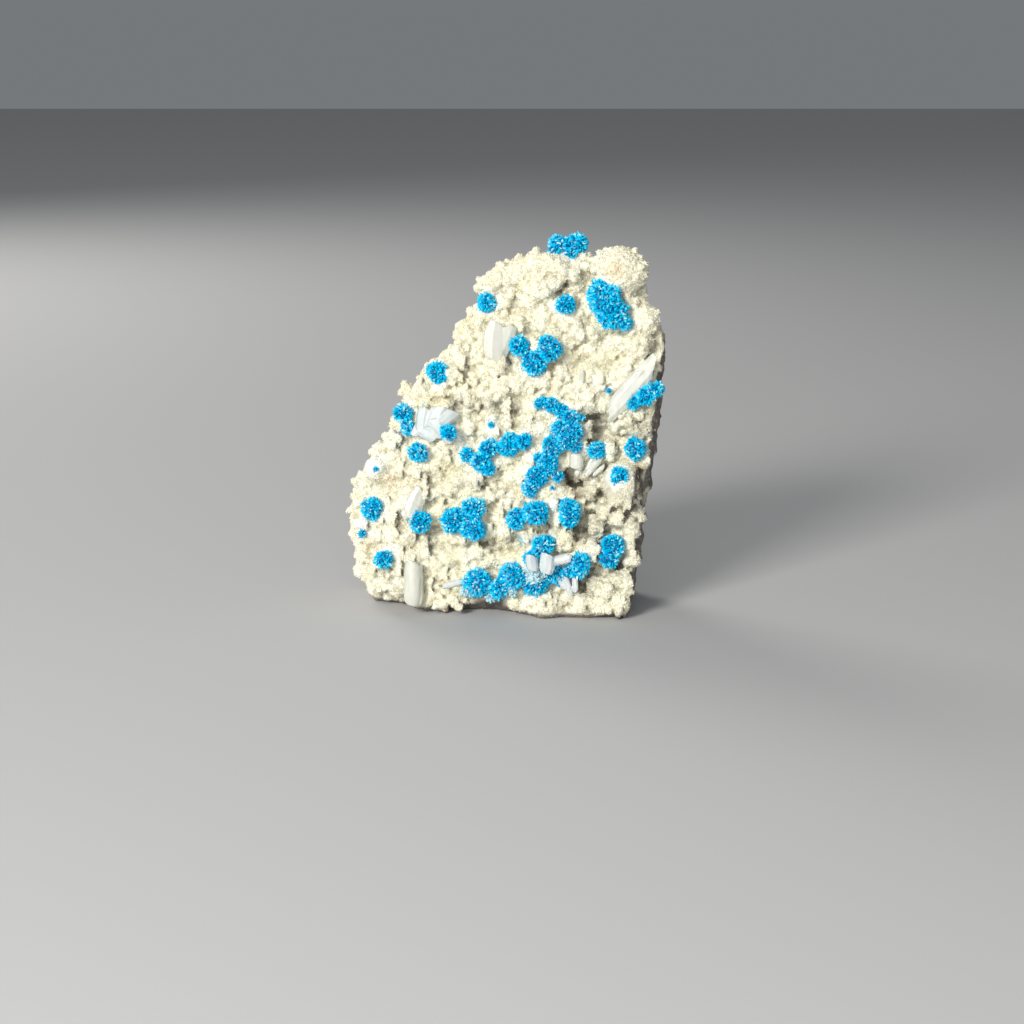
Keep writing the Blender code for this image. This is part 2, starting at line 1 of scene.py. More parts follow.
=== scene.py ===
"""The cavansite specimen, dressed: drusy zeolite rock, blue rosettes of pointed blades and clear crystals."""

import math

import bpy
import numpy
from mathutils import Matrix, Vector, noise
from mathutils.bvhtree import BVHTree


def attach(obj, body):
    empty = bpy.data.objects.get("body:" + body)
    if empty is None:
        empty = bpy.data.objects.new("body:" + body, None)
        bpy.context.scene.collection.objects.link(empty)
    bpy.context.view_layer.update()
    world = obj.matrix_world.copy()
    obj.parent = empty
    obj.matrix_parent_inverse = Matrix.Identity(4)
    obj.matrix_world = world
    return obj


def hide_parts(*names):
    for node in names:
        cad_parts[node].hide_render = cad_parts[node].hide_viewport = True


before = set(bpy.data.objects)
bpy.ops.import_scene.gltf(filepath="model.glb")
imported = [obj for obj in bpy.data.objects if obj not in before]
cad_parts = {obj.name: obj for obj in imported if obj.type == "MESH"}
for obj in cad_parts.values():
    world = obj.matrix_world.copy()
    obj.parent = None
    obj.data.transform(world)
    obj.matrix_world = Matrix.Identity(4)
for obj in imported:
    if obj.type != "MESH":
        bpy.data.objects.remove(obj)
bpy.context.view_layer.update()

MM = 0.001
BODY = "root"

# Camera: viewing angle in degrees, distance and clipping range in metres, target and lens in millimetres
VIEW_ELEVATION = 13.0
VIEW_DISTANCE = 0.820
VIEW_TARGET = (2.01, 4.65, 30.0)
LENS = 82.37
SENSOR = 36.0
CLIP_RANGE = (0.01, 20.0)

# Studio: the floor, the sky and each light's place and size in metres, power in watts and colour
FLOOR_SIZE = 6.0
FLOOR_COLOUR = (0.50, 0.50, 0.50, 1.0)
FLOOR_ROUGHNESS = 0.9
SKY_COLOUR = (0.9, 0.95, 1.0, 1.0)
SKY_STRENGTH = 0.20
LIGHT_AIM = (0.0, 0.0, 0.06)
LIGHTS = {
    "key": ((-0.80, -1.25, 0.70), 0.50, 26.6, (1.0, 0.98, 0.94)),
    "fill": ((-0.10, -1.20, 0.35), 0.8, 6.2, (0.97, 0.98, 1.0)),
    "back": ((-0.70, 0.90, 0.70), 0.6, 7.0, (1.0, 0.98, 0.95)),
}

# Rock skin in millimetres: the CAD skin is sunk and lumps are grown on it, less near what stands on it
MERGE_DISTANCE = 0.002
SOFT_VOXEL = 0.9
ROCK_VOXEL = 0.46
ROCK_TRIANGLES = 194000
BARE_SINK = 0.5
NEAR_SINK = 1.7
OPEN_SINK = 3.3
PIT_GAIN = 1.3
KNOB_SINK = 0.6
KNOB_RISE = 1.5
FOOT_HEIGHT = 0.25
ROCK_GRAIN = (1.1, 0.2)

# The direction in which the camera looks, and the spot under the crown where the skin is not sunk
SIGHT = (0.0, 0.974, -0.225)
CROWN_FOOT = (20.5, -2.0, 118.0, 8.0)

# Spots count less in depth than across, and end at this share of their radius
SPOT_WEIGHTS = (1.0, 0.45, 1.0)
SPOT_REACH = 1.3

# How far inside its radius each kind of spot begins to fade, as a share of the radius
STAIN_FADE = 0.8
PIT_FADE = 0.7
PIT_SHADE_FADE = 0.6
SPOT_FADE = 0.5
SMOOTH_FADE = 0.2

# Where the coat begins and is whole: how far the skin faces the front and up, and the height in millimetres
COAT_FRONT = (-0.45, -0.1)
COAT_TOP = (0.15, 0.4)
COAT_FOOT = (1.0, 2.5)

# Cloud patterns that make the coat's edges ragged, height, size in millimetres and offset of each, then
# how far they move its front, top and flank edges
COAT_PATCHES = ((1.0, 14.0, 0.0), (0.5, 5.0, 3.0))
RAGGED_FRONT = 0.45
RAGGED_TOP = 0.3
RAGGED_FLANK = 0.15

# Where the right flank begins to be bare and is bare, and the heights between which that ends. The flank is
# broken rock, and its dark colour is partly painted shade
BARE_AND_SHADE_FLANK = (0.62, 0.82)
BARE_AND_SHADE_FLANK_TOP = (88.0, 100.0)
GROWN_FLANK = (0.45, 0.65)
GROWN_FLANK_TOP = (92.0, 100.0)

# Distances in millimetres from rosettes and crystals, or heights, between which each effect sets in
SINK_ROOM = (0.6, 3.5)
SINK_FOOT = (0.2, 2.5)
PIT_ROOM = (0.2, 1.6)
SWELL_ROOM = (0.6, 2.8)
NODULE_ROOM = (0.2, 1.4)
NODULE_PATCHES = (-0.18, 0.12)
CHIP_FOOT = (0.5, 3.0)
HALO = (0.4, 2.2)
HALO_SHARE = 0.6

# Depths under the smoothed skin in millimetres, between which each mask of painted shade sets in: creases,
# hollows and pits
CREASE_DEPTHS = (0.02, 0.42)
HOLLOW_DEPTHS = (0.15, 1.7)
PIT_DEPTHS = (-0.3, 0.7)

# Relief of the bare rock, swells, fractures, chips and grain: height, size and offset of each cloud pattern
BARE_RELIEF = ((1.0, 11.0, 7.0), (1.3, 6.0, 8.0), (0.5, 2.2, 9.0), (0.25, 1.0, 10.0))

# What is scattered on the rock: how many for each square millimetre, the least and largest size along its
# three axes, the lean in degrees, the seed and the least spacing in millimetres
SWELLS = (0.07, ((2.2, 2.2, 2.6), (3.7, 3.7, 3.9)), 20.0, 12, 4.3)
NODULES = (0.40, ((1.0, 1.0, 1.2), (1.8, 1.8, 2.1)), 20.0, 17, 2.4)
BEADS = (0.7, ((0.4, 0.4, 0.5), (0.8, 0.8, 0.8)), 20.0, 23, 1.3)
DRUSE = (1.35, ((0.5, 0.5, 0.5), (1.1, 1.1, 1.05)), 50.0)
DRUSE_SEEDS = (101, 111)

# One druse crystal: radius, height and lift in millimetres
GRAIN_SHAPE = (0.42, 0.85, 0.18)

# Pits of the show face, scooped deeper than in the solids: (x, y, z, radius, depth)
PITS = (
    (32.0, -15.0, 64.0, 3.8, 6.0), (28.5, -15.0, 68.0, 2.6, 4.0), (22.0, -16.0, 48.5, 2.8, 4.5),
    (25.0, -16.0, 44.5, 2.8, 4.5), (33.6, -21.0, 50.0, 2.4, 4.0), (46.0, -20.0, 49.5, 2.4, 4.0),
    (46.5, -20.0, 44.0, 3.0, 5.0), (26.3, -22.0, 27.6, 3.2, 6.5), (32.8, -23.5, 27.4, 2.8, 5.5),
    (14.0, -20.0, 29.0, 2.6, 3.5), (29.0, -24.0, 14.5, 3.4, 5.5), (20.0, -24.0, 8.0, 2.6, 4.5),
    (20.5, -6.0, 111.5, 2.4, 4.0), (13.0, -6.0, 114.0, 1.8, 2.6), (-6.0, -20.0, 23.5, 2.4, 3.0),
    (-25.0, -18.0, 27.0, 2.2, 2.2), (38.4, -17.0, 61.0, 2.4, 3.5), (49.5, -10.0, 107.0, 2.4, 2.6),
    (26.5, -10.0, 111.5, 2.4, 3.0), (44.0, -22.0, 36.5, 2.4, 4.0), (33.0, -25.0, 17.5, 2.6, 4.0),
    (36.4, -23.0, 30.6, 2.4, 5.0), (24.0, -18.0, 39.5, 2.4, 3.5), (38.8, -23.0, 17.4, 2.4, 4.5),
    (33.0, -21.0, 43.2, 2.2, 3.5), (40.4, -23.0, 28.4, 1.8, 4.0), (37.0, -24.0, 9.2, 1.6, 3.0),
    (-4.8, -20.5, 3.2, 3.4, 2.2),
)

# Named knobs of the show face: the foremost point in millimetres and the radius
KNOBS = {
    "head": (38.1, -12.8, 117.2, 9.0), "head_left": (33.5, -10.3, 118.8, 5.0),
    "head_right": (42.5, -11.6, 116.3, 6.0), "shoulder": (46.6, -13.3, 100.3, 6.0),
    "shoulder_low": (44.5, -15.0, 92.3, 6.0), "crest_left": (9.8, -5.3, 118.6, 4.6),
    "crest_mid": (15.5, -8.0, 117.6, 5.2), "crown_seat": (20.5, -5.0, 118.6, 4.6),
    "brow_ridge": (4.8, -5.5, 116.4, 4.8), "crown_gap": (26.0, -5.0, 117.6, 4.4),
    "brow": (-0.4, -4.9, 114.6, 4.6), "brow_left": (-5.4, -5.6, 110.7, 4.8),
    "brow_low": (11.4, -10.1, 110.6, 4.6), "brow_knob": (16.6, -10.6, 112.6, 3.2),
    "brow_right": (22.6, -9.0, 115.0, 3.0), "left_ledge": (-38.0, -8.4, 58.0, 4.4),
    "patch_left": (-44.9, -9.9, 48.4, 4.6), "disc_seat": (39.3, -26.0, 47.2, 7.6),
    "river_knob": (16.6, -21.4, 38.8, 2.9), "hollow_knob": (31.2, -23.8, 31.8, 3.8),
    "knob_right": (36.8, -24.4, 41.0, 3.0), "knob_far": (41.4, -23.8, 40.2, 3.0),
    "knob_mid": (33.6, -24.0, 36.2, 3.0), "right_knob": (43.0, -23.8, 30.6, 3.8),
    "right_inner": (38.5, -24.5, 34.2, 3.2), "rib_mid": (29.0, -20.4, 42.6, 3.2),
    "tall_foot": (20.4, -21.4, 26.6, 4.2), "inner_lump": (29.6, -25.2, 23.8, 3.2),
    "inner_left": (26.2, -23.8, 23.6, 2.8), "right_low": (42.0, -23.6, 25.6, 3.6),
    "right_lower": (43.6, -23.4, 20.4, 3.6), "foot_upper": (37.2, -27.2, 13.2, 3.8),
    "foot_upper_right": (41.4, -27.4, 12.4, 3.4), "foot_middle": (33.8, -28.0, 10.6, 4.0),
    "foot_inner": (30.0, -24.2, 11.0, 3.2), "foot_right": (38.6, -28.6, 6.0, 4.4),
    "foot_front": (32.0, -28.4, 5.2, 4.4), "foot_left": (26.6, -28.2, 5.2, 4.2),
    "left_foot": (13.6, -26.9, 4.4, 6.0), "rib_top": (37.2, -16.6, 65.2, 3.2),
    "rib_high": (41.2, -18.8, 67.0, 3.2), "rib_edge": (43.6, -18.8, 63.4, 3.0),
    "rib": (35.2, -19.6, 57.6, 3.6), "edge_knob": (46.8, -19.0, 52.6, 2.6),
    "mound": (27.5, -15.0, 74.5, 4.6),
}

# Smooth knobs that carry no nodules: (x, y, z, radius)
SMOOTH_KNOBS = (
    (39.4, -23.3, 47.6, 7.4), (16.6, -20.4, 38.8, 2.6), (-44.9, -9.9, 48.4, 4.0),
)

# Stains of the coat, spots where its gaps get painted deep shade, and spots without the coat: (x, y, z,
# radius)
TAN_STAINS = (
    (20.6, -7.6, 111.4, 3.6), (-0.4, -9.4, 85.6, 4.0), (-28.3, -18.0, 9.6, 1.6), (-39.7, -11.6, 45.0, 5.0),
    (-31.0, -15.0, 41.0, 3.0), (16.0, -14.0, 85.0, 4.0), (-46.0, -10.0, 22.0, 4.0),
    (24.0, -18.0, 44.0, 4.0), (5.0, -20.0, 41.0, 3.0), (37.0, -12.0, 117.0, 4.5),
)
PALE_STAINS = (
    (-44.5, -10.3, 50.0, 5.0), (-50.1, -12.9, 29.5, 3.6), (16.6, -20.4, 38.8, 2.8),
    (10.2, -21.5, 14.0, 5.0), (30.0, -12.0, 79.5, 2.0), (-16.0, -12.0, 60.0, 3.0),
)
BLUE_STAINS = (
    (13.3, -7.4, 108.4, 1.8), (10.5, -8.4, 107.6, 1.0), (5.3, -19.0, 25.5, 2.2), (3.6, -19.0, 29.0, 1.3),
    (51.5, -15.3, 80.9, 1.8), (-27.6, -9.0, 70.2, 1.5), (42.6, -17.2, 62.1, 1.5), (9.0, -13.0, 83.2, 1.4),
    (3.0, -12.0, 87.4, 1.2),
)
# Spots where the coat's hollows, creases and gaps are painted near black as deep shade
DEEP_SHADE_SPOTS = (
    (-16.3, -9.9, 70.6, 4.4), (-10.0, -11.0, 70.4, 4.4), (-3.6, -12.0, 69.6, 4.4), (3.4, -12.6, 67.6, 3.8),
    (31.5, -14.0, 65.0, 7.0), (24.0, -16.0, 46.5, 6.5), (29.0, -20.0, 30.0, 8.0), (-5.0, -19.0, 24.0, 4.0),
    (26.0, -24.0, 12.0, 7.0), (47.0, -18.0, 46.0, 8.0), (46.0, -20.0, 34.0, 7.0), (44.0, -15.0, 64.0, 7.0),
    (33.0, -20.0, 45.0, 7.0), (36.0, -22.0, 18.0, 7.0), (29.0, -19.0, 40.0, 7.0), (-25.0, -17.0, 27.0, 3.0),
    (20.5, -7.0, 111.5, 3.0), (2.0, -20.0, 26.0, 4.0), (14.0, -20.0, 29.0, 4.0), (-40.0, -17.0, 14.0, 4.0),
)
BARE_SPOTS = (
    (-25.0, -16.0, 0.0, 2.8), (-19.0, -17.0, 0.0, 2.8), (-13.0, -19.0, 0.8, 3.2), (-8.5, -20.0, 2.6, 4.2),
    (-4.2, -20.5, 3.2, 4.8), (44.0, -20.0, 14.5, 1.8),
)

# Cavansite rosettes in millimetres: each ball is (x, y, z, radius)
ROSETTES = {
    "cavansite_crown": (
        (17.2, -1.8, 124.3, 3.5), (24.5, -0.8, 125.0, 3.4), (21.9, -3.3, 120.7, 2.6),
        (20.9, -1.3, 124.7, 2.1), (23.2, -2.1, 122.9, 1.6),
    ),
    "cavansite_upper_left": ((-6.6, -5.6, 105.0, 3.5),),
    "cavansite_upper_small": ((20.0, -11.8, 105.3, 3.2),),
    "cavansite_oval_cap": (
        (31.7, -12.5, 108.8, 4.5), (34.1, -14.6, 105.4, 5.4), (36.6, -14.5, 101.7, 4.5),
        (29.6, -12.6, 105.6, 2.4), (35.6, -13.4, 109.2, 2.6), (39.8, -14.8, 99.6, 2.6),
        (33.2, -14.6, 101.6, 2.8), (38.6, -14.2, 104.6, 2.6), (30.2, -11.6, 111.6, 2.4),
    ),
    "cavansite_vee": (
        (4.5, -11.2, 91.0, 3.4), (9.4, -12.9, 85.4, 4.0), (14.4, -14.9, 91.0, 4.2), (6.9, -12.0, 88.2, 2.1),
        (11.9, -13.9, 88.2, 2.5),
    ),
    "cavansite_left_shoulder": ((-23.2, -8.1, 81.5, 3.7),),
    "cavansite_right_fan": ((43.3, -18.9, 73.6, 2.9), (46.8, -20.2, 75.6, 3.2), (49.9, -20.3, 77.4, 2.9)),
    "cavansite_right_speck": ((34.7, -14.7, 76.5, 1.1),),
    "cavansite_left_edge_pair": (
        (-35.2, -7.0, 67.0, 3.4), (-33.4, -8.4, 62.2, 2.7), (-34.3, -7.7, 64.6, 1.7),
    ),
    "cavansite_star": ((-19.4, -15.8, 62.6, 3.0),),
    "cavansite_left_middle": ((-29.7, -12.6, 54.6, 3.4),),
    "cavansite_centre_spray": ((-5.1, -12.8, 64.5, 1.5),),
    "cavansite_chain": (
        (-13.4, -14.2, 53.9, 2.6), (-8.3, -15.6, 52.4, 3.2), (-6.5, -16.9, 50.5, 2.6),
        (-5.9, -15.0, 56.7, 3.2), (0.9, -15.1, 57.9, 3.7), (5.9, -15.8, 59.1, 3.0),
        (-10.8, -14.9, 53.1, 1.6), (-7.1, -15.3, 54.5, 2.0), (-2.5, -15.1, 57.3, 2.0),
        (3.4, -15.5, 58.5, 1.9),
    ),
    "cavansite_river": (
        (11.8, -15.3, 72.3, 2.2), (15.0, -15.2, 71.8, 2.5), (18.7, -15.0, 69.3, 2.8),
        (22.0, -16.8, 66.9, 3.3), (22.8, -18.1, 63.0, 3.6), (20.5, -18.6, 60.3, 3.9),
        (15.9, -17.4, 58.0, 3.9), (14.1, -18.0, 51.8, 3.9), (10.2, -18.3, 47.5, 3.9),
        (8.1, -18.4, 43.5, 3.2), (16.8, -15.1, 70.6, 1.6), (20.3, -15.9, 68.1, 1.7),
        (15.0, -17.7, 54.9, 2.4), (12.1, -18.2, 49.7, 2.4), (18.3, -17.4, 64.0, 3.3),
        (25.4, -16.2, 67.6, 1.9), (12.8, -14.6, 73.6, 1.5), (23.6, -18.3, 58.4, 2.3),
        (10.9, -17.6, 54.0, 2.0), (17.3, -18.2, 47.4, 2.0),
    ),
    "cavansite_river_speck": ((15.8, -19.4, 44.0, 1.1),),
    "cavansite_hollow": ((30.5, -19.1, 56.6, 3.2),),
    "cavansite_right_upper": ((43.5, -21.5, 57.7, 3.7),),
    "cavansite_disc": ((38.0, -24.2, 49.0, 3.4),),
    "cavansite_left_spray": ((-44.6, -10.5, 48.5, 1.3),),
    "cavansite_far_left": ((-46.0, -13.2, 35.4, 3.9),),
    "cavansite_left_fan": ((-49.4, -15.0, 26.8, 1.9),),
    "cavansite_lower_left": ((-41.8, -18.8, 19.2, 3.2),),
    "cavansite_left_ball": ((-29.1, -17.6, 31.8, 3.7),),
    "cavansite_trefoil": (
        (-11.0, -18.8, 36.5, 3.9), (-17.6, -19.8, 32.9, 4.6), (-11.0, -22.1, 30.0, 4.1),
        (-14.3, -19.3, 34.7, 2.4), (-11.0, -20.4, 33.3, 2.4),
    ),
    "cavansite_pair": ((9.9, -22.3, 36.1, 4.4), (3.6, -19.5, 33.1, 3.4), (6.7, -20.9, 34.6, 2.1)),
    "cavansite_tall": ((21.5, -22.8, 36.8, 3.9), (21.5, -23.8, 34.6, 3.7)),
    "cavansite_bottom_chain": (
        (12.4, -22.1, 24.6, 3.7), (8.5, -24.5, 20.1, 2.9), (-9.6, -22.4, 11.4, 4.9),
        (-2.6, -24.2, 9.3, 3.6), (2.0, -23.6, 14.0, 4.9), (10.0, -23.2, 11.4, 4.4),
        (17.9, -23.7, 14.6, 3.6), (24.7, -26.3, 18.8, 4.1), (10.4, -23.3, 22.4, 1.8),
        (-0.6, -23.4, 15.7, 1.8), (-6.1, -23.3, 10.4, 2.2), (-0.3, -23.9, 11.7, 2.2),
        (6.0, -23.4, 12.7, 2.7), (13.9, -23.4, 13.0, 2.2), (21.3, -25.0, 16.7, 2.2),
    ),
    "cavansite_lower_right": ((35.8, -24.3, 24.9, 4.1), (35.2, -25.0, 20.5, 3.1)),
}

# Tufts of pale blades beside the blue ones: (x, y, z, radius)
PALE_TUFTS = (
    (9.2, -26.0, 14.6, 2.9), (12.4, -25.4, 16.4, 2.2), (7.0, -25.2, 17.4, 2.0), (-13.2, -22.8, 8.6, 2.0),
    (-5.2, -24.6, 6.8, 1.9), (2.4, -25.2, 9.4, 1.9),
)

# Rosette cores in millimetres: the reach of the blades past them, the least share of the ball's radius and
# the lumps as (size, height). A cluster whose first ball is under the full radius has smaller blades
FULL_RADIUS = 2.6
BLADE_REACH = 0.85
CORE_SHARE = 0.55
CORE_VOXEL = 0.55
CORE_LUMPS = ((3.4, 2.4), (1.6, 0.8))
CORE_SHADE = 0.3
AIR_MARGIN = 0.2

# One blade in millimetres: radius, height and lift of its tip, length of its stem, width share of its foot
# and flatness, then the heights between which it turns from deep blue, painted shade at its foot, to light
# blue
BLADE_SHAPE = (0.55, 0.62, 0.75, 0.8, 0.45, 0.65)
TIP_HEIGHTS = (-0.35, 0.6)

# Blades on the cores: how many for each square millimetre, least and largest size, and lean in degrees
BLADES_PER_MM2 = 3.3
BLADE_SIZES = ((0.5, 0.5, 0.7), (1.1, 1.1, 1.45))
BLADE_LEAN = 34.0
SPRAYS_PER_MM2 = 0.25
SPRAY_SIZES = ((0.7, 0.7, 1.3), (1.3, 1.3, 2.0))
SPRAY_LEAN = 42.0
WHITE_SIZES = ((0.5, 0.5, 1.0), (1.0, 1.0, 1.65))
WHITE_LEAN = 40.0
ROSETTE_SEED = 1001
SEED_STEP = 10
TUFT_SEED = 2001

# Rosettes with white crystals among their blades: how many for each square millimetre
WHITE_PER_MM2 = {
    "cavansite_bottom_chain": 0.3, "cavansite_oval_cap": 0.16, "cavansite_crown": 0.2,
    "cavansite_vee": 0.12, "cavansite_pair": 0.16, "cavansite_trefoil": 0.1, "cavansite_far_left": 0.16,
    "cavansite_left_ball": 0.2, "cavansite_left_middle": 0.2, "cavansite_tall": 0.12,
    "cavansite_river": 0.05, "cavansite_disc": 0.12, "cavansite_right_upper": 0.12,
    "cavansite_left_edge_pair": 0.16, "cavansite_lower_left": 0.12,
}

# Crystal blades in millimetres: centre, length, width, thickness, lean and turn in degrees, then the shares
# of the width at the lower and upper end, the slant of the top in degrees and the softening of the edges
CRYSTAL_BLADES = {
    "clear_plate": (
        (-3.2, -11.2, 92.4, 12.4, 9.6, 3.4, 6, 12, 0.66, 0.62, 24, 0.6),
        (-0.8, -10.8, 93.2, 9.6, 7.0, 3.0, 22, 2, 0.7, 0.8, -22, 0.5),
        (-5.6, -10.6, 90.8, 8.0, 4.6, 2.6, -10, 22, 0.7, 0.7, 30, 0.4),
    ),
    "long_white_blade": (
        (42.4, -17.9, 77.9, 23.0, 7.4, 3.8, 40, -8, 0.66, 0.72, 30, 0.5),
        (40.4, -17.3, 77.4, 15.0, 5.0, 3.4, 36, -22, 0.7, 0.7, -24, 0.4),
        (45.6, -17.4, 80.0, 10.0, 4.4, 3.2, 44, -14, 0.8, 0.8, 18, 0.4),
    ),
    "clear_block_group": (
        (-27.6, -11.2, 65.2, 8.2, 6.4, 5.0, 8, 16, 0.86, 0.84, 20, 0.5),
        (-23.8, -12.0, 67.2, 7.6, 6.2, 4.8, 30, -8, 0.86, 0.8, -22, 0.5),
        (-22.8, -12.8, 63.4, 7.2, 6.0, 4.8, -38, 6, 0.86, 0.84, 20, 0.5),
        (-19.6, -12.6, 66.8, 6.0, 5.0, 4.2, 56, 12, 0.86, 0.84, -18, 0.4),
        (-26.4, -12.6, 61.4, 6.0, 5.0, 4.2, -62, 10, 0.86, 0.84, 22, 0.4),
        (-20.4, -13.0, 60.6, 5.6, 3.8, 3.2, -30, -14, 0.8, 0.7, 26, 0.4),
        (-30.0, -10.2, 62.4, 5.0, 3.8, 3.2, 30, 6, 0.86, 0.8, -20, 0.4),
    ),
    "clear_prism": (
        (-31.9, -22.4, 11.4, 15.0, 6.4, 4.8, 2, 4, 0.8, 0.74, 8, 1.4),
        (-29.8, -21.4, 10.4, 12.4, 3.2, 3.6, 4, 22, 0.9, 0.8, -18, 0.6),
        (-33.4, -21.4, 10.0, 11.0, 2.8, 3.2, 0, -16, 0.9, 0.8, 22, 0.5),
    ),
    "pale_blade": (
        (-31.0, -16.0, 37.6, 10.2, 6.4, 2.8, 24, 8, 0.74, 0.72, 26, 0.8),
        (-33.2, -15.6, 35.2, 6.4, 4.4, 2.4, 34, 10, 0.7, 0.8, 18, 0.5),
    ),
    "white_crystal_group": (
        (13.9, -29.0, 19.8, 6.4, 5.6, 4.2, 6, 8, 0.66, 0.9, 16, 1.0),
        (18.6, -28.4, 21.2, 6.6, 3.6, 3.2, 76, -10, 0.8, 0.9, 0, 1.1),
        (8.8, -27.6, 19.8, 5.4, 4.4, 3.4, -8, 14, 0.8, 0.8, 22, 0.5),
    ),
    "small_white_blade": ((-18.3, -21.4, 10.8, 6.6, 2.3, 2.2, 78, 0, 0.7, 0.8, 20, 0.3),),
    "round_white_crystal": (
        (23.7, -21.2, 53.4, 5.2, 5.0, 4.8, 8, 20, 0.86, 0.86, 6, 1.7),
        (24.4, -20.6, 50.2, 3.8, 2.2, 2.2, 24, 0, 0.8, 0.7, 20, 0.5),
    ),
    "hollow_blade": (
        (29.6, -19.8, 51.4, 8.8, 2.4, 2.2, 44, 10, 0.6, 0.85, 20, 0.3),
        (27.6, -19.4, 51.2, 6.6, 1.8, 1.8, 28, -6, 0.6, 0.8, -20, 0.25),
        (31.2, -19.2, 49.8, 5.0, 1.8, 1.8, 52, 0, 0.6, 0.8, 20, 0.25),
    ),
    "small_white_needle": ((25.6, -15.1, 81.5, 4.0, 1.8, 1.8, 3, 10, 0.7, 0.8, 24, 0.25),),
    "hanging_blades": (
        (21.0, -26.2, 11.2, 7.2, 2.4, 2.0, -16, 8, 0.5, 0.9, 10, 0.5),
        (23.4, -26.2, 12.2, 5.8, 2.2, 1.8, -6, -8, 0.5, 0.9, -12, 0.4),
        (18.6, -25.6, 12.6, 5.2, 2.0, 1.8, -28, 0, 0.5, 0.9, 14, 0.4),
    ),
}

BLUISH_NODES = ("clear_block_group", "white_crystal_group", "small_white_blade", "hanging_blades")
CLEAR_NODES = ("clear_plate", "clear_block_group", "clear_prism")

# How a blade is cut from a prism of unit size: heights of its waist, height and tilt of the end cuts and the
# length added for them, then in degrees the bevelled edges, the smooth faces and the top's lean to the back
PRISM_WAIST = (-0.2, 0.22)
PRISM_CUT = 0.40
CUT_TILT = 0.12
CUT_ALLOWANCE = 1.18
EDGE_ANGLE = 18.0
SMOOTH_ANGLE = 28.0
TOP_BACK = -8.0
CRYSTAL_VOXEL = 0.22

# Masks that the rock's finishes read, each from the attribute of the same name in small letters. The crease,
# hollow and deep shade masks place painted shade
ZEOLITE_MASKS = ("Crease", "Hollow", "Coat", "Tan", "Blue", "Grey", "Pale", "Shade")

# Colours of the coat
COAT_CREAM = (0.82, 0.78, 0.58, 1.0)
COAT_LIGHT = (0.90, 0.885, 0.71, 1.0)
COAT_BUFF = (0.80, 0.75, 0.60, 1.0)
COAT_SPECK = (0.60, 0.55, 0.43, 1.0)
COAT_YELLOW = (0.76, 0.68, 0.40, 1.0)
COAT_TAN = (0.56, 0.42, 0.24, 1.0)
# Painted shade in the hollows and creases
HOLLOW_SHADE = (0.44, 0.40, 0.28, 1.0)
CREASE_SHADE = (0.40, 0.36, 0.25, 1.0)
# Near black painted shade for the gaps in the deep shade spots
GAP_SHADE = (0.08, 0.07, 0.048, 1.0)
DULL_GRAIN = (0.44, 0.41, 0.30, 1.0)
PALE_RIM = (0.86, 0.90, 0.86, 1.0)
BLUE_BLUSH = (0.06, 0.42, 0.58, 1.0)

# Colours of the bare rock
BASALT_DARK = (0.075, 0.065, 0.055, 1.0)
BASALT_LIGHT = (0.19, 0.16, 0.13, 1.0)
BASALT_RUST = (0.27, 0.19, 0.12, 1.0)
BASALT_DUST = (0.40, 0.36, 0.29, 1.0)
# Painted shade in the hollows of the bare rock
BASALT_GAP_SHADE = (0.03, 0.027, 0.022, 1.0)
FILLED_BUBBLE = (0.74, 0.70, 0.58, 1.0)

# Dapples of the coat and of the bare rock: tint, share, size in millimetres and detail, then the values of
# the cloud pattern between which they set in, where these aren't the usual ones
COAT_DAPPLES = (
    (COAT_BUFF, 0.6, 2.0, 3.0), (COAT_SPECK, 0.5, 0.8, 2.0, 0.55, 0.72),
    (COAT_YELLOW, 0.35, 13.0, 3.0, 0.52, 0.68),
)
BASALT_DAPPLES = (
    (BASALT_RUST, 0.55, 8.0, 5.0, 0.50, 0.64), (BASALT_DUST, 0.5, 1.3, 4.0, 0.52, 0.66),
    (FILLED_BUBBLE, 1.0, 2.6, 1.0, 0.70, 0.73),
)

# Bumps of the rock: size in millimetres, detail and height in millimetres
FINE_BUMP = (0.7, 3.0, 0.35)
BROAD_BUMP = (2.4, 5.0, 0.6)

# Roughness and strength of the bumps, and the light that sinks into the coat, its depth in millimetres
COAT_FINISH = (0.55, 0.6)
DRUSE_FINISH = (0.28, 0.0)
GLOW_WEIGHT = 0.2
GLOW_COLOURS = (1.0, 0.85, 0.6)
GLOW_DEPTH = 0.8

# Colours of the cavansite, and the shades between which a blade gets a light tip. The deep blue is painted
# shade at the cores and the blades' feet; the light tip is partly a paler tip and partly a painted glint
CAVANSITE_GAP_SHADE = (0.0, 0.11, 0.27, 1.0)
CAVANSITE_AZURE = (0.0, 0.44, 0.82, 1.0)
CAVANSITE_SKY = (0.0, 0.72, 0.94, 1.0)
CAVANSITE_TIP_AND_GLINT = (0.42, 0.84, 0.96, 1.0)
CAVANSITE_ROUGHNESS = 0.28
CAVANSITE_SPECULAR = 0.2
LIGHT_TIP_AND_GLINT_RANGE = (0.76, 1.0)

# Crystal finishes: tint, milky tint, roughness, transmission and the tint of its depth
CRYSTAL_FINISHES = {
    "clear_crystal": ((0.84, 0.85, 0.74, 1.0), (0.94, 0.94, 0.86, 1.0), 0.16, 0.42, (0.92, 0.94, 0.84, 1.0)),
    "bluish_crystal": ((0.82, 0.91, 0.92, 1.0), (0.95, 0.97, 0.96, 1.0), 0.12, 0.45, (0.86, 0.94, 0.97, 1.0)),
    "pale_cavansite": ((0.42, 0.78, 0.88, 1.0), (0.78, 0.92, 0.94, 1.0), 0.2, 0.2, (0.80, 0.94, 0.97, 1.0)),
}
CRYSTAL_IOR = 1.5
ABSORPTION = 25.0

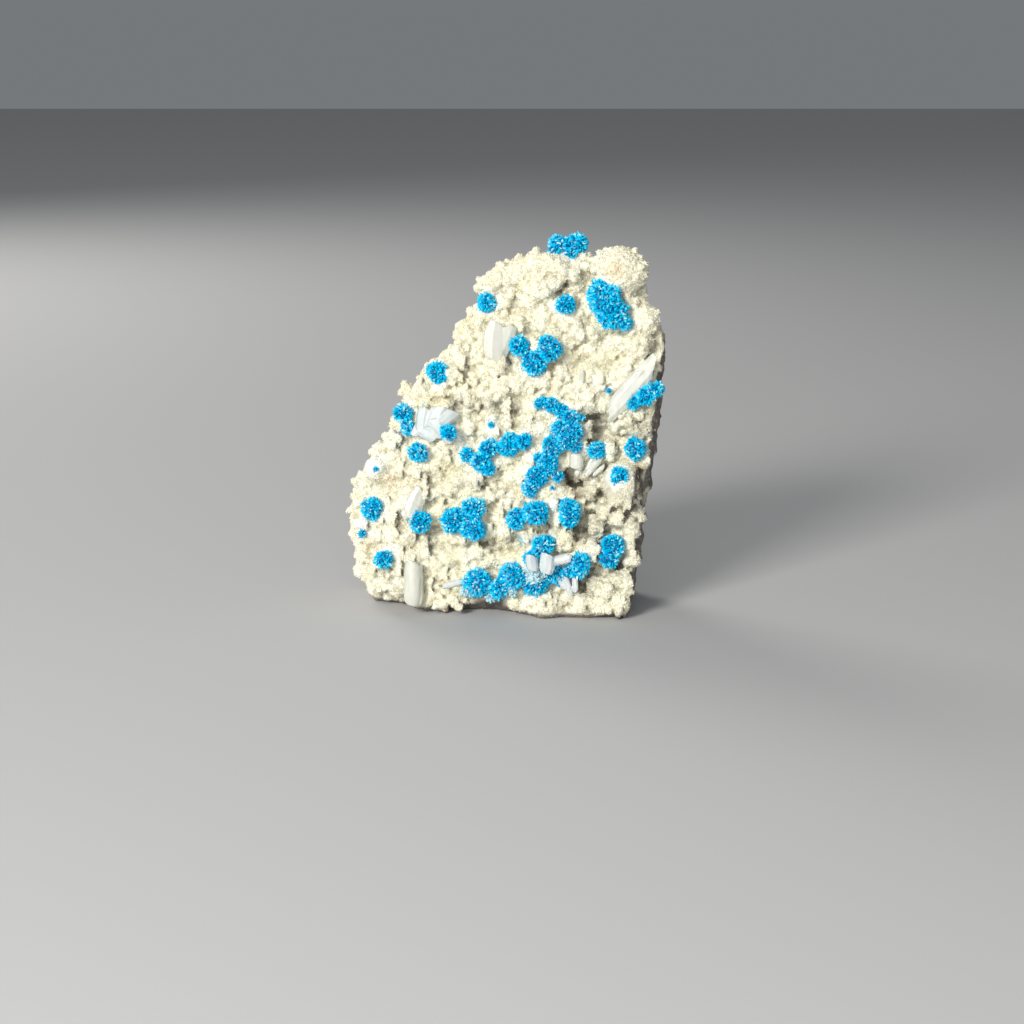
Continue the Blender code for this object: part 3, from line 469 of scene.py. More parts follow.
# Lengthwise streaks of the crystals: scale along each axis, size in millimetres and detail, then strength
# and height in millimetres of their bump
STREAK_SCALE = (1.0, 1.0, 0.3)
STREAK_PATTERN = (2.2, 3.0)
STREAK_STRENGTH = 0.25
STREAK_HEIGHT = 0.12


def mm(x, y, z):
    """A point in millimetres as a vector in metres."""
    return Vector((x, y, z)) * MM


def deselect():
    """Nothing is selected afterwards."""
    bpy.ops.object.select_all(action="DESELECT")


def pick(item):
    """Make one object the selected and active one."""
    deselect()
    item.select_set(True)
    bpy.context.view_layer.objects.active = item


def apply_all(item):
    """Apply every modifier of an object."""
    pick(item)
    for step in list(item.modifiers):
        bpy.ops.object.modifier_apply(modifier=step.name)


def settle(item):
    """Put an object's place, turn and size into its mesh."""
    pick(item)
    bpy.ops.object.transform_apply(location=True, rotation=True, scale=True)


def join(items, name):
    """Join objects into one."""
    deselect()
    for item in items:
        item.select_set(True)
    bpy.context.view_layer.objects.active = items[0]
    if len(items) > 1:
        bpy.ops.object.join()
    items[0].name = name
    items[0].data.name = name
    return items[0]


def copy_of(item, name):
    """A copy of an object with a mesh of its own."""
    twin = bpy.data.objects.new(name, item.data.copy())
    twin.data.name = name
    bpy.context.scene.collection.objects.link(twin)
    return twin


def remove(item):
    """Delete a helper object."""
    bpy.data.objects.remove(item, do_unlink=True)


def merged_copy(node_name, name):
    """A copy of a CAD node with the doubles of its loose triangles merged."""
    twin = copy_of(bpy.data.objects[node_name], name)
    twin.data.materials.clear()
    pick(twin)
    bpy.ops.object.mode_set(mode="EDIT")
    bpy.ops.mesh.select_all(action="SELECT")
    bpy.ops.mesh.remove_doubles(threshold=MERGE_DISTANCE * MM)
    bpy.ops.object.mode_set(mode="OBJECT")
    return twin


def reskin(item, voxel):
    """Rebuild an object as one closed skin, voxel size in millimetres."""
    step = item.modifiers.new("skin", "REMESH")
    step.mode = "VOXEL"
    step.voxel_size = voxel * MM
    apply_all(item)


def soften(item, rounds, factor=0.5):
    """Smooth an object's skin."""
    step = item.modifiers.new("soften", "SMOOTH")
    step.iterations = rounds
    step.factor = factor
    apply_all(item)


def roughen(item, scale, height, depth=2):
    """Push a skin in and out by a cloud pattern, sizes in millimetres."""
    pattern = bpy.data.textures.new(item.name + "_relief", "CLOUDS")
    pattern.noise_scale = scale * MM
    pattern.noise_depth = depth
    step = item.modifiers.new("roughen", "DISPLACE")
    step.texture = pattern
    step.texture_coords = "LOCAL"
    step.mid_level = 0.5
    step.strength = height * MM
    apply_all(item)


def thin_out(item, triangles):
    """Reduce an object to about the given number of triangles."""
    count = sum(len(face.vertices) - 2 for face in item.data.polygons)
    if count > triangles:
        step = item.modifiers.new("thin", "DECIMATE")
        step.ratio = triangles / count
        apply_all(item)


def points_of(item):
    """An object's points as an array."""
    places = numpy.empty(len(item.data.vertices) * 3, numpy.float32)
    item.data.vertices.foreach_get("co", places)
    return places.reshape(-1, 3)


def normals_of(item):
    """An object's point normals as an array."""
    ways = numpy.empty(len(item.data.vertices) * 3, numpy.float32)
    item.data.vertex_normals.foreach_get("vector", ways)
    return ways.reshape(-1, 3)


def move_points(item, places):
    """Put an object's points at new places."""
    item.data.vertices.foreach_set("co", numpy.asarray(places, numpy.float32).ravel())
    item.data.update()


def write_values(item, name, values):
    """Keep one number for each point in a named attribute."""
    layer = item.data.attributes.get(name) or item.data.attributes.new(name, "FLOAT", "POINT")
    layer.data.foreach_set("value", numpy.asarray(values, numpy.float32))


def ramp(value, low, high):
    """0 below low, 1 above high and smooth between."""
    share = numpy.clip((value - low) / (high - low), 0.0, 1.0)
    return share * share * (3.0 - 2.0 * share)


def cloud(places, size, offset=0.0):
    """A soft pattern of about -1 to 1 at the given points, size in millimetres."""
    scale = 1.0 / (size * MM)
    shift = Vector((offset, offset * 0.7, offset * 1.3))
    return numpy.array([noise.noise(Vector(place) * scale + shift) for place in places])


def near_spots(places, spots, fade):
    """1 inside the given spots (x, y, z, radius), fading out round their radius. Depth counts less."""
    share = numpy.zeros(len(places))
    for x, y, z, radius in spots:
        away = (places / MM - numpy.array((x, y, z))) * numpy.array(SPOT_WEIGHTS)
        distance = numpy.linalg.norm(away, axis=1)
        share = numpy.maximum(share, 1.0 - ramp(distance, radius * (1.0 - fade), radius * SPOT_REACH))
    return share


def sunk_depth(item, rounds):
    """How far each point lies under (positive) or over (negative) a smoothed skin, in millimetres."""
    edges = numpy.empty(len(item.data.edges) * 2, numpy.int64)
    item.data.edges.foreach_get("vertices", edges)
    edges = edges.reshape(-1, 2)
    start = points_of(item).astype(numpy.float64)
    count = numpy.bincount(edges.ravel(), minlength=len(start)).reshape(-1, 1)
    places = start.copy()
    for _ in range(rounds):
        total = numpy.zeros_like(places)
        for axis in range(3):
            total[:, axis] = numpy.bincount(edges[:, 0], places[edges[:, 1], axis], len(places))
            total[:, axis] += numpy.bincount(edges[:, 1], places[edges[:, 0], axis], len(places))
        places = 0.4 * places + 0.6 * total / count
    return ((places - start) * normals_of(item)).sum(axis=1) / MM


def node(tree, kind, inputs=(), **settings):
    """Add a node, with values or links for its inputs and values for its settings."""
    made = tree.nodes.new(kind)
    for name, value in settings.items():
        setattr(made, name, value)
    for name, value in dict(inputs).items():
        if isinstance(value, bpy.types.NodeSocket):
            tree.links.new(value, made.inputs[name])
        else:
            made.inputs[name].default_value = value
    return made


def scatter(skin, grain, name, mask, density, sizes, lean, seed, spacing=0.0):
    """Stand copies of a grain on a skin: density for each square millimetre where the mask attribute is 1.

    With a spacing in millimetres no two copies stand nearer to each other than that.
    """
    tree = bpy.data.node_groups.new(name, "GeometryNodeTree")
    tree.interface.new_socket("Geometry", in_out="INPUT", socket_type="NodeSocketGeometry")
    tree.interface.new_socket("Geometry", in_out="OUTPUT", socket_type="NodeSocketGeometry")
    start = node(tree, "NodeGroupInput")
    covered = node(tree, "GeometryNodeInputNamedAttribute", {"Name": mask}, data_type="FLOAT")
    density = density / (MM * MM)
    if spacing:
        spread = node(
            tree, "GeometryNodeDistributePointsOnFaces",
            {
                "Mesh": start.outputs[0], "Distance Min": spacing * MM, "Density Max": density,
                "Density Factor": covered.outputs[0], "Seed": seed,
            },
            distribute_method="POISSON",
        )
    else:
        thick = node(tree, "ShaderNodeMath", {0: covered.outputs[0], 1: density}, operation="MULTIPLY")
        spread = node(
            tree, "GeometryNodeDistributePointsOnFaces",
            {"Mesh": start.outputs[0], "Density": thick.outputs[0], "Seed": seed},
        )
    lean_by = math.radians(lean)
    turn = node(tree, "FunctionNodeRandomValue", {"Seed": seed + 1}, data_type="FLOAT_VECTOR")
    turn.inputs[0].default_value = (-lean_by, -lean_by, 0.0)
    turn.inputs[1].default_value = (lean_by, lean_by, math.tau)
    euler = node(tree, "FunctionNodeEulerToRotation", {"Euler": turn.outputs[0]})
    stand = node(
        tree, "FunctionNodeRotateRotation",
        {"Rotation": spread.outputs["Rotation"], "Rotate By": euler.outputs[0]}, rotation_space="LOCAL",
    )
    size = node(tree, "FunctionNodeRandomValue", {"Seed": seed + 2}, data_type="FLOAT_VECTOR")
    size.inputs[0].default_value = sizes[0]
    size.inputs[1].default_value = sizes[1]
    source = node(tree, "GeometryNodeObjectInfo", {"Object": grain})
    copies = node(
        tree, "GeometryNodeInstanceOnPoints",
        {
            "Points": spread.outputs["Points"], "Instance": source.outputs["Geometry"],
            "Rotation": stand.outputs[0], "Scale": size.outputs[0],
        },
    )
    chance = node(tree, "FunctionNodeRandomValue", {"Seed": seed + 3}, data_type="FLOAT")
    shaded = node(
        tree, "GeometryNodeStoreNamedAttribute",
        {"Geometry": copies.outputs[0], "Name": "shade", "Value": chance.outputs[1]},
        data_type="FLOAT", domain="INSTANCE",
    )
    real = node(tree, "GeometryNodeRealizeInstances", {"Geometry": shaded.outputs[0]})
    end = node(tree, "NodeGroupOutput")
    tree.links.new(real.outputs[0], end.inputs[0])
    piece = copy_of(skin, name)
    step = piece.modifiers.new("scatter", "NODES")
    step.node_group = tree
    apply_all(piece)
    piece.data.materials.clear()
    return piece


def dress(piece, material, slot, *nodes):
    """Give a finished piece its material and body, and let it stand for its CAD nodes. The slot is not used.
    """
    piece.data.materials.clear()
    piece.data.materials.append(material)
    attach(piece, BODY)
    if nodes:
        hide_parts(*nodes)


def nodule_ball():
    """A small round ball, the seed of the rock's lumps."""
    deselect()
    bpy.ops.mesh.primitive_ico_sphere_add(subdivisions=2, radius=1.0 * MM, location=(0.0, 0.0, 0.0))
    ball = bpy.context.active_object
    ball.name = "nodule"
    return ball


def drusy_grain():
    """A tiny blocky crystal: a low four-sided point with a closed base sunk into the skin."""
    radius, height, lift = GRAIN_SHAPE
    deselect()
    bpy.ops.mesh.primitive_cone_add(
        vertices=4, radius1=radius * MM, radius2=0.0, depth=height * MM, location=(0.0, 0.0, lift * MM))
    grain = bpy.context.active_object
    grain.name = "grain"
    settle(grain)
    return grain


def cavansite_blade():
    """One pointed blade of a rosette: a flattened three-sided crystal, widest below its tip."""
    radius, tip_height, tip_lift, stem, foot_share, flatness = BLADE_SHAPE
    deselect()
    bpy.ops.mesh.primitive_cone_add(
        vertices=3, radius1=radius * MM, radius2=0.0, depth=tip_height * MM,
        location=(0.0, 0.0, tip_lift * MM))
    blade = bpy.context.active_object
    blade.name = "blade"
    settle(blade)
    bpy.ops.object.mode_set(mode="EDIT")
    bpy.ops.mesh.select_mode(type="FACE")
    bpy.ops.mesh.select_all(action="DESELECT")
    bpy.ops.object.mode_set(mode="OBJECT")
    for face in blade.data.polygons:
        face.select = face.normal.z < -0.9
    bpy.ops.object.mode_set(mode="EDIT")
    bpy.ops.mesh.extrude_region_move(TRANSFORM_OT_translate={"value": (0.0, 0.0, -stem * MM)})
    bpy.ops.transform.resize(value=(foot_share, foot_share, 1.0), center_override=(0.0, 0.0, 0.0))
    bpy.ops.mesh.select_all(action="SELECT")
    bpy.ops.transform.resize(value=(1.0, flatness, 1.0), center_override=(0.0, 0.0, 0.0))
    bpy.ops.mesh.normals_make_consistent(inside=False)
    bpy.ops.object.mode_set(mode="OBJECT")
    write_values(blade, "tip", ramp(points_of(blade)[:, 2] / MM, *TIP_HEIGHTS))
    return blade


def crystal_distance(places):
    """Distance in millimetres from each place to the nearest clear or white crystal."""
    scene_now = bpy.context.evaluated_depsgraph_get()
    trees = [BVHTree.FromObject(bpy.data.objects[name], scene_now) for name in CRYSTAL_BLADES]
    return numpy.array([min(tree.find_nearest(Vector(place))[3] for tree in trees) for place in places]) / MM


def rosette_distance(places):
    """Distance in millimetres from each place to the nearest rosette ball's surface."""
    nearest = numpy.full(len(places), 1e3)
    for balls in ROSETTES.values():
        for x, y, z, radius in balls:
            gap = numpy.linalg.norm(places / MM - numpy.array((x, y, z)), axis=1) - radius
            nearest = numpy.minimum(nearest, gap)
    return nearest


def clearance(places):
    """Distance in millimetres from each place to the nearest rosette or crystal."""
    return numpy.minimum(rosette_distance(places), crystal_distance(places))


def coat_share(places, facing):
    """1 where the zeolite coat covers the rock and 0 where the rock is bare."""
    height = places[:, 2] / MM
    patches = sum(rise * cloud(places, size, offset) for rise, size, offset in COAT_PATCHES)
    coat = ramp(-facing[:, 1] + RAGGED_FRONT * patches, *COAT_FRONT)
    coat = numpy.maximum(coat, ramp(facing[:, 2] + RAGGED_TOP * patches, *COAT_TOP))
    # The bare right flank: broken rock, its dark colour partly painted shade
    flank = ramp(facing[:, 0] + RAGGED_FLANK * patches, *BARE_AND_SHADE_FLANK)
    flank = flank * (1.0 - ramp(height, *BARE_AND_SHADE_FLANK_TOP))
    bare = near_spots(places, BARE_SPOTS, SPOT_FADE)
    return coat * (1.0 - flank) * (1.0 - bare) * ramp(height, *COAT_FOOT)


def write_growth(rock):
    """Write where swells, nodules and beads may grow on the rock."""
    places = points_of(rock)
    facing = normals_of(rock)
    gap = clearance(places)
    smooth = near_spots(places, SMOOTH_KNOBS, SMOOTH_FADE)
    patch = ramp(cloud(places, 7.0, 5.0), *NODULE_PATCHES)
    flank = ramp(facing[:, 0], *GROWN_FLANK) * (1.0 - ramp(places[:, 2] / MM, *GROWN_FLANK_TOP))
    coat = coat_share(places, facing) * (1.0 - flank)
    write_values(rock, "room", coat * (ramp(gap, *SWELL_ROOM) * (1.0 - smooth)))
    write_values(rock, "knobbly", coat * ramp(gap, *NODULE_ROOM) * (1.0 - smooth) * patch)
    write_values(rock, "plain", coat * (1.0 - 0.9 * smooth))


def sink_skin(rock):
    """Sink the rock's skin to make room for its growth, and scoop out the pits."""
    places = points_of(rock)
    facing = normals_of(rock)
    coat = coat_share(places, facing)
    gap = clearance(places)
    room = ramp(gap, *SINK_ROOM) * (1.0 - near_spots(places, SMOOTH_KNOBS, SMOOTH_FADE))
    sink = BARE_SINK + coat * (NEAR_SINK - BARE_SINK + (OPEN_SINK - NEAR_SINK) * room)
    sink = sink * ramp(places[:, 2] / MM, *SINK_FOOT)
    sink = sink * (1.0 - near_spots(places, (CROWN_FOOT,), SPOT_FADE))
    scoop = numpy.zeros(len(places))
    for *spot, depth in PITS:
        scoop = numpy.maximum(scoop, PIT_GAIN * depth * near_spots(places, (spot,), PIT_FADE))
    scoop = scoop * ramp(gap, *PIT_ROOM) * ramp(-facing[:, 1], 0.0, 0.5)
    move_points(rock, places - facing * sink[:, None] * MM + numpy.outer(scoop, SIGHT) * MM)


def knob_balls():
    """The named knobs as balls, each just behind its foremost point."""
    balls = []
    for x, y, z, radius in KNOBS.values():
        deselect()
        centre = Vector((x, y, z)) + Vector(SIGHT) * (radius - KNOB_RISE)
        bpy.ops.mesh.primitive_ico_sphere_add(
            subdivisions=3, radius=(radius - KNOB_SINK) * MM, location=centre * MM)
        balls.append(bpy.context.active_object)
    knobs = join(balls, "knobs")
    settle(knobs)
    return knobs


def grow_coat(rock):
    """Grow the coat in two rounds: knobs and broad swells first, then nodules and beads all over them."""
    ball = nodule_ball()
    write_growth(rock)
    swells = scatter(rock, ball, "swells", "room", *SWELLS)
    rock = join([rock, swells, knob_balls()], "rock")
    reskin(rock, SOFT_VOXEL)
    soften(rock, 1)
    write_growth(rock)
    nodules = scatter(rock, ball, "nodules", "knobbly", *NODULES)
    beads = scatter(rock, ball, "beads", "plain", *BEADS)
    remove(ball)
    return join([rock, nodules, beads], "rock")


def chip_bare_rock(rock):
    """Break the skin of the bare rock, and set the foot flat on the floor."""
    places = points_of(rock).astype(numpy.float64)
    facing = normals_of(rock)
    swell, fracture, chip, grain = (
        height * cloud(places, size, offset) for height, size, offset in BARE_RELIEF)
    bare = (1.0 - coat_share(places, facing)) * ramp(places[:, 2] / MM, *CHIP_FOOT)
    chips = swell - numpy.abs(fracture) + chip + grain
    places = places + facing * (bare * chips)[:, None] * MM
    places[:, 2] = numpy.where(places[:, 2] < FOOT_HEIGHT * MM, 0.0, places[:, 2])
    move_points(rock, places)
    return places


def write_masks(rock, places):
    """Write the masks that the rock's finishes read: coat, creases, hollows and pits for painted shade, the
    tan, pale and blue stained spots, and the spots of painted deep shade.
    """
    depth = sunk_depth(rock, 60)
    # The pits add to the painted shade of the hollows
    pits = near_spots(places, [spot for *spot, _ in PITS], PIT_SHADE_FADE)
    pits = pits * ramp(depth, *PIT_DEPTHS)
    halo = (1.0 - ramp(rosette_distance(places), *HALO)) * HALO_SHARE
    write_values(rock, "coat", coat_share(places, normals_of(rock)))
    write_values(rock, "crease", ramp(sunk_depth(rock, 10), *CREASE_DEPTHS))
    write_values(rock, "hollow", numpy.maximum(ramp(depth, *HOLLOW_DEPTHS), pits))
    write_values(rock, "pale", numpy.maximum(near_spots(places, PALE_STAINS, STAIN_FADE), halo))
    # Tan and blue are stained spots; the deep shade spots carry painted shade
    for name, stain_and_shade_spots in (("tan", TAN_STAINS), ("blue", BLUE_STAINS), ("grey", DEEP_SHADE_SPOTS)):
        write_values(rock, name, near_spots(places, stain_and_shade_spots, STAIN_FADE))


def build_rock():
    """The rock's skin: the CAD matrix sunk a little and pitted, then grown over, chipped and masked."""
    rock = merged_copy("matrix", "rock")
    reskin(rock, SOFT_VOXEL)
    soften(rock, 3)
    sink_skin(rock)
    soften(rock, 5)
    rock = grow_coat(rock)
    reskin(rock, ROCK_VOXEL)
    roughen(rock, *ROCK_GRAIN)
    thin_out(rock, ROCK_TRIANGLES)
    write_masks(rock, chip_bare_rock(rock))
    for face in rock.data.polygons:
        face.use_smooth = True
    return rock


def rosette_core(name, balls, full):
    """The lumpy core of a rosette cluster, its balls smaller by the reach of the blades."""
    parts = []
    for x, y, z, radius in balls:
        deselect()
        bpy.ops.mesh.primitive_ico_sphere_add(
            subdivisions=3, radius=max(radius - BLADE_REACH, radius * CORE_SHARE) * MM, location=mm(x, y, z))
        parts.append(bpy.context.active_object)
    core = join(parts, name + "_core")
    settle(core)
    reskin(core, CORE_VOXEL * full)
    for scale, height in CORE_LUMPS:
        roughen(core, scale, height * full, depth=1)
    return core


def build_rosette(name, balls, blade, rock_tree, seed):
    """A rosette cluster and the white crystals among its blades, or None where it has none.

    The blades stand on a core, painted deep blue as shade, where it is outside the rock. A small ball has
    smaller blades.
    """
    full = min(1.0, balls[0][3] / FULL_RADIUS)
    core = rosette_core(name, balls, full)
    in_air = []
    for vertex in core.data.vertices:
        point, way, _, _ = rock_tree.find_nearest(vertex.co)
        in_air.append(1.0 if (vertex.co - point).dot(way) > -AIR_MARGIN * MM else 0.0)
    write_values(core, "open", in_air)
    # A tip of 0 paints the core deep blue as shade
    write_values(core, "tip", [0.0] * len(core.data.vertices))
    write_values(core, "shade", [CORE_SHADE] * len(core.data.vertices))
    sizes = [[full * side for side in size] for size in BLADE_SIZES]
    blades = [
        core,
        scatter(core, blade, name + "_blades", "open", BLADES_PER_MM2 / full / full, sizes, BLADE_LEAN, seed),
    ]
    if full == 1.0:
        blades.append(scatter(
            core, blade, name + "_sprays", "open", SPRAYS_PER_MM2, SPRAY_SIZES, SPRAY_LEAN, seed + 5))
    white = None
    if name in WHITE_PER_MM2:
        white = scatter(
            core, blade, name + "_white", "open", WHITE_PER_MM2[name], WHITE_SIZES, WHITE_LEAN, seed + 7)
    return join(blades, name + "_rosette"), white


def mixed(tree, factor, first, second):
    """A colour mixed from two others."""
    made = node(tree, "ShaderNodeMix", {0: factor, 6: first, 7: second}, data_type="RGBA", clamp_factor=True)
    return made.outputs[2]


def math_of(tree, operation, first, second):
    """Two masks or numbers combined."""
    return node(tree, "ShaderNodeMath", {0: first, 1: second}, operation=operation).outputs[0]


def scaled(tree, value, factor):
    """A mask times a number or another mask."""
    return math_of(tree, "MULTIPLY", value, factor)


def larger(tree, first, second):
    """The larger of two masks."""
    return math_of(tree, "MAXIMUM", first, second)


def spread_out(tree, value, low, high, top=1.0):
    """A mask that rises smoothly from 0 at low to top at high."""
    made = node(
        tree, "ShaderNodeMapRange", {"Value": value, "From Min": low, "From Max": high, "To Max": top},
        interpolation_type="SMOOTHSTEP")
    return made.outputs["Result"]


def cloud_texture(tree, places, size, detail):
    """A cloud pattern with features of the given size in millimetres."""
    made = node(
        tree, "ShaderNodeTexNoise", {"Vector": places, "Scale": 1.0 / (size * MM), "Detail": detail})
    return made.outputs["Fac"]


def cloud_mask(tree, places, size, detail=2.0, low=0.35, high=0.65):
    """A cloud pattern spread to 0 to 1."""
    return spread_out(tree, cloud_texture(tree, places, size, detail), low, high)


def dappled(tree, colour, place, dapples):
    """A colour with patches that hold a share of each tint."""
    for tint, share, *pattern in dapples:
        colour = mixed(tree, scaled(tree, cloud_mask(tree, place, *pattern), share), colour, tint)
    return colour


def relief(tree, places, strength, size, detail, height, **under):
    """A bump from a cloud pattern, on top of another bump where one is given."""
    pattern = cloud_texture(tree, places, size, detail)
    made = node(
        tree, "ShaderNodeBump",
        {"Height": pattern, "Strength": strength, "Distance": height * MM, **under})
    return made.outputs[0]


def new_material(name):
    """A material with its node tree, shader and object coordinates."""
    material = bpy.data.materials.new(name)
    material.use_nodes = True
    tree = material.node_tree
    shader = tree.nodes["Principled BSDF"]
    places = node(tree, "ShaderNodeTexCoord").outputs["Object"]
    return material, tree, shader, places


def attribute(tree, name):
    """A named attribute's value."""
    return node(tree, "ShaderNodeAttribute", attribute_name=name).outputs["Fac"]


def coat_colour(tree, masks):
    """The cream of the coat with its specks, stained patches, dull grains and pale rims, and painted shade in
    its hollows, creases and gaps.
    """
    place = masks["Place"]
    cream = mixed(tree, cloud_mask(tree, place, 9.0), COAT_CREAM, COAT_LIGHT)
    cream = dappled(tree, cream, place, COAT_DAPPLES)
    broken = cloud_mask(tree, place, 1.8, 4.0, 0.30, 0.62)
    cream = mixed(tree, scaled(tree, scaled(tree, masks["Tan"], broken), 0.7), cream, COAT_TAN)
    # Painted shade in the hollows and creases
    cream = mixed(tree, scaled(tree, masks["Hollow"], 0.50), cream, HOLLOW_SHADE)
    cream = mixed(tree, scaled(tree, masks["Crease"], 0.50), cream, CREASE_SHADE)
    # Painted deep shade, near black, in the gaps within the deep shade spots
    gap = larger(tree, masks["Hollow"], scaled(tree, broken, 0.45))
    gap = larger(tree, gap, scaled(tree, masks["Crease"], 0.7))
    cream = mixed(tree, scaled(tree, scaled(tree, masks["Grey"], gap), 0.92), cream, GAP_SHADE)
    cream = mixed(tree, spread_out(tree, masks["Shade"], 0.55, 0.95, 0.4), cream, DULL_GRAIN)
    cream = mixed(tree, scaled(tree, masks["Pale"], 0.8), cream, PALE_RIM)
    blotch = cloud_mask(tree, place, 0.9, 3.0, 0.42, 0.58)
    return mixed(tree, scaled(tree, scaled(tree, masks["Blue"], blotch), 0.75), cream, BLUE_BLUSH)


def basalt_colour(tree, masks):
    """The dark greyish brown of the bare rock with its rust, dust and filled bubbles, and painted shade in
    its hollows.
    """
    place = masks["Place"]
    basalt = mixed(tree, cloud_mask(tree, place, 4.0, 4.0), BASALT_DARK, BASALT_LIGHT)
    basalt = dappled(tree, basalt, place, BASALT_DAPPLES)
    # Painted shade in the hollows
    return mixed(tree, scaled(tree, masks["Hollow"], 0.6), basalt, BASALT_GAP_SHADE)


def zeolite_colour_group():
    """The rock's colour from its masks, shared by its skin and its grains."""
    tree = bpy.data.node_groups.new("zeolite_colour", "ShaderNodeTree")
    tree.interface.new_socket("Place", in_out="INPUT", socket_type="NodeSocketVector")
    for name in ZEOLITE_MASKS:
        tree.interface.new_socket(name, in_out="INPUT", socket_type="NodeSocketFloat")
    tree.interface.new_socket("Color", in_out="OUTPUT", socket_type="NodeSocketColor")
    masks = node(tree, "NodeGroupInput").outputs
    colour = mixed(tree, masks["Coat"], basalt_colour(tree, masks), coat_colour(tree, masks))
    end = node(tree, "NodeGroupOutput")
    tree.links.new(colour, end.inputs[0])
    return tree


def zeolite_material(name, colours, roughness, bump):
    """The finish of the rock's skin or of its grains."""
    material, tree, shader, places = new_material(name)
    tint = node(tree, "ShaderNodeGroup", node_tree=colours)
    tree.links.new(places, tint.inputs["Place"])
    for mask in ZEOLITE_MASKS:
        tree.links.new(attribute(tree, mask.lower()), tint.inputs[mask])
    tree.links.new(tint.outputs[0], shader.inputs["Base Color"])
    shader.inputs["Roughness"].default_value = roughness
    shader.inputs["Subsurface Weight"].default_value = GLOW_WEIGHT
    shader.inputs["Subsurface Radius"].default_value = GLOW_COLOURS
    shader.inputs["Subsurface Scale"].default_value = GLOW_DEPTH * MM
    fine = relief(tree, places, bump, *FINE_BUMP)
    broad = relief(tree, places, bump, *BROAD_BUMP, Normal=fine)
    tree.links.new(broad, shader.inputs["Normal"])
    return material


def cavansite_material():
    """Blue crystal: deep blue painted as shade at the core and in the gaps, azure on the blades and light at
    some tips, partly a paler tip and partly a painted glint.
    """
    material, tree, shader, _ = new_material("cavansite_blue")
    tip = attribute(tree, "tip")
    shade = attribute(tree, "shade")
    azure = mixed(tree, shade, CAVANSITE_AZURE, CAVANSITE_SKY)
    # Painted shade: deep blue at the core and the feet of the blades
    colour = mixed(tree, tip, CAVANSITE_GAP_SHADE, azure)
    # Painted glint, partly a paler tip, at some tips
    tip_and_glint = scaled(tree, spread_out(tree, shade, *LIGHT_TIP_AND_GLINT_RANGE), tip)
    colour = mixed(tree, tip_and_glint, colour, CAVANSITE_TIP_AND_GLINT)
    tree.links.new(colour, shader.inputs["Base Color"])
    shader.inputs["Roughness"].default_value = CAVANSITE_ROUGHNESS
    shader.inputs["Specular IOR Level"].default_value = CAVANSITE_SPECULAR
    return material


def crystal_material(name):
    """Clear or milky crystal with faint lengthwise streaks and its own absorption."""
    tint, milk_tint, roughness, transmission, depth_tint = CRYSTAL_FINISHES[name]
    material, tree, shader, places = new_material(name)
    streak = node(tree, "ShaderNodeMapping", {"Vector": places, "Scale": STREAK_SCALE})
    milk = cloud_mask(tree, streak.outputs[0], *STREAK_PATTERN)
    tree.links.new(mixed(tree, milk, tint, milk_tint), shader.inputs["Base Color"])
    shader.inputs["Roughness"].default_value = roughness
    shader.inputs["IOR"].default_value = CRYSTAL_IOR
    shader.inputs["Transmission Weight"].default_value = transmission
    streaks = node(
        tree, "ShaderNodeBump",
        {"Height": milk, "Strength": STREAK_STRENGTH, "Distance": STREAK_HEIGHT * MM})
    tree.links.new(streaks.outputs[0], shader.inputs["Normal"])
    inside = node(tree, "ShaderNodeVolumeAbsorption", {"Color": depth_tint, "Density": ABSORPTION})
    tree.links.new(inside.outputs[0], tree.nodes["Material Output"].inputs["Volume"])
    return material


def pick_points(item, low, high):
    """Select an object's points between two heights, and go to edit mode."""
    pick(item)
    bpy.ops.object.mode_set(mode="EDIT")
    bpy.ops.mesh.select_mode(type="VERT")
    bpy.ops.mesh.select_all(action="DESELECT")
    bpy.ops.object.mode_set(mode="OBJECT")
    for vertex in item.data.vertices:
        vertex.select = low <= vertex.co.z <= high
    bpy.ops.object.mode_set(mode="EDIT")


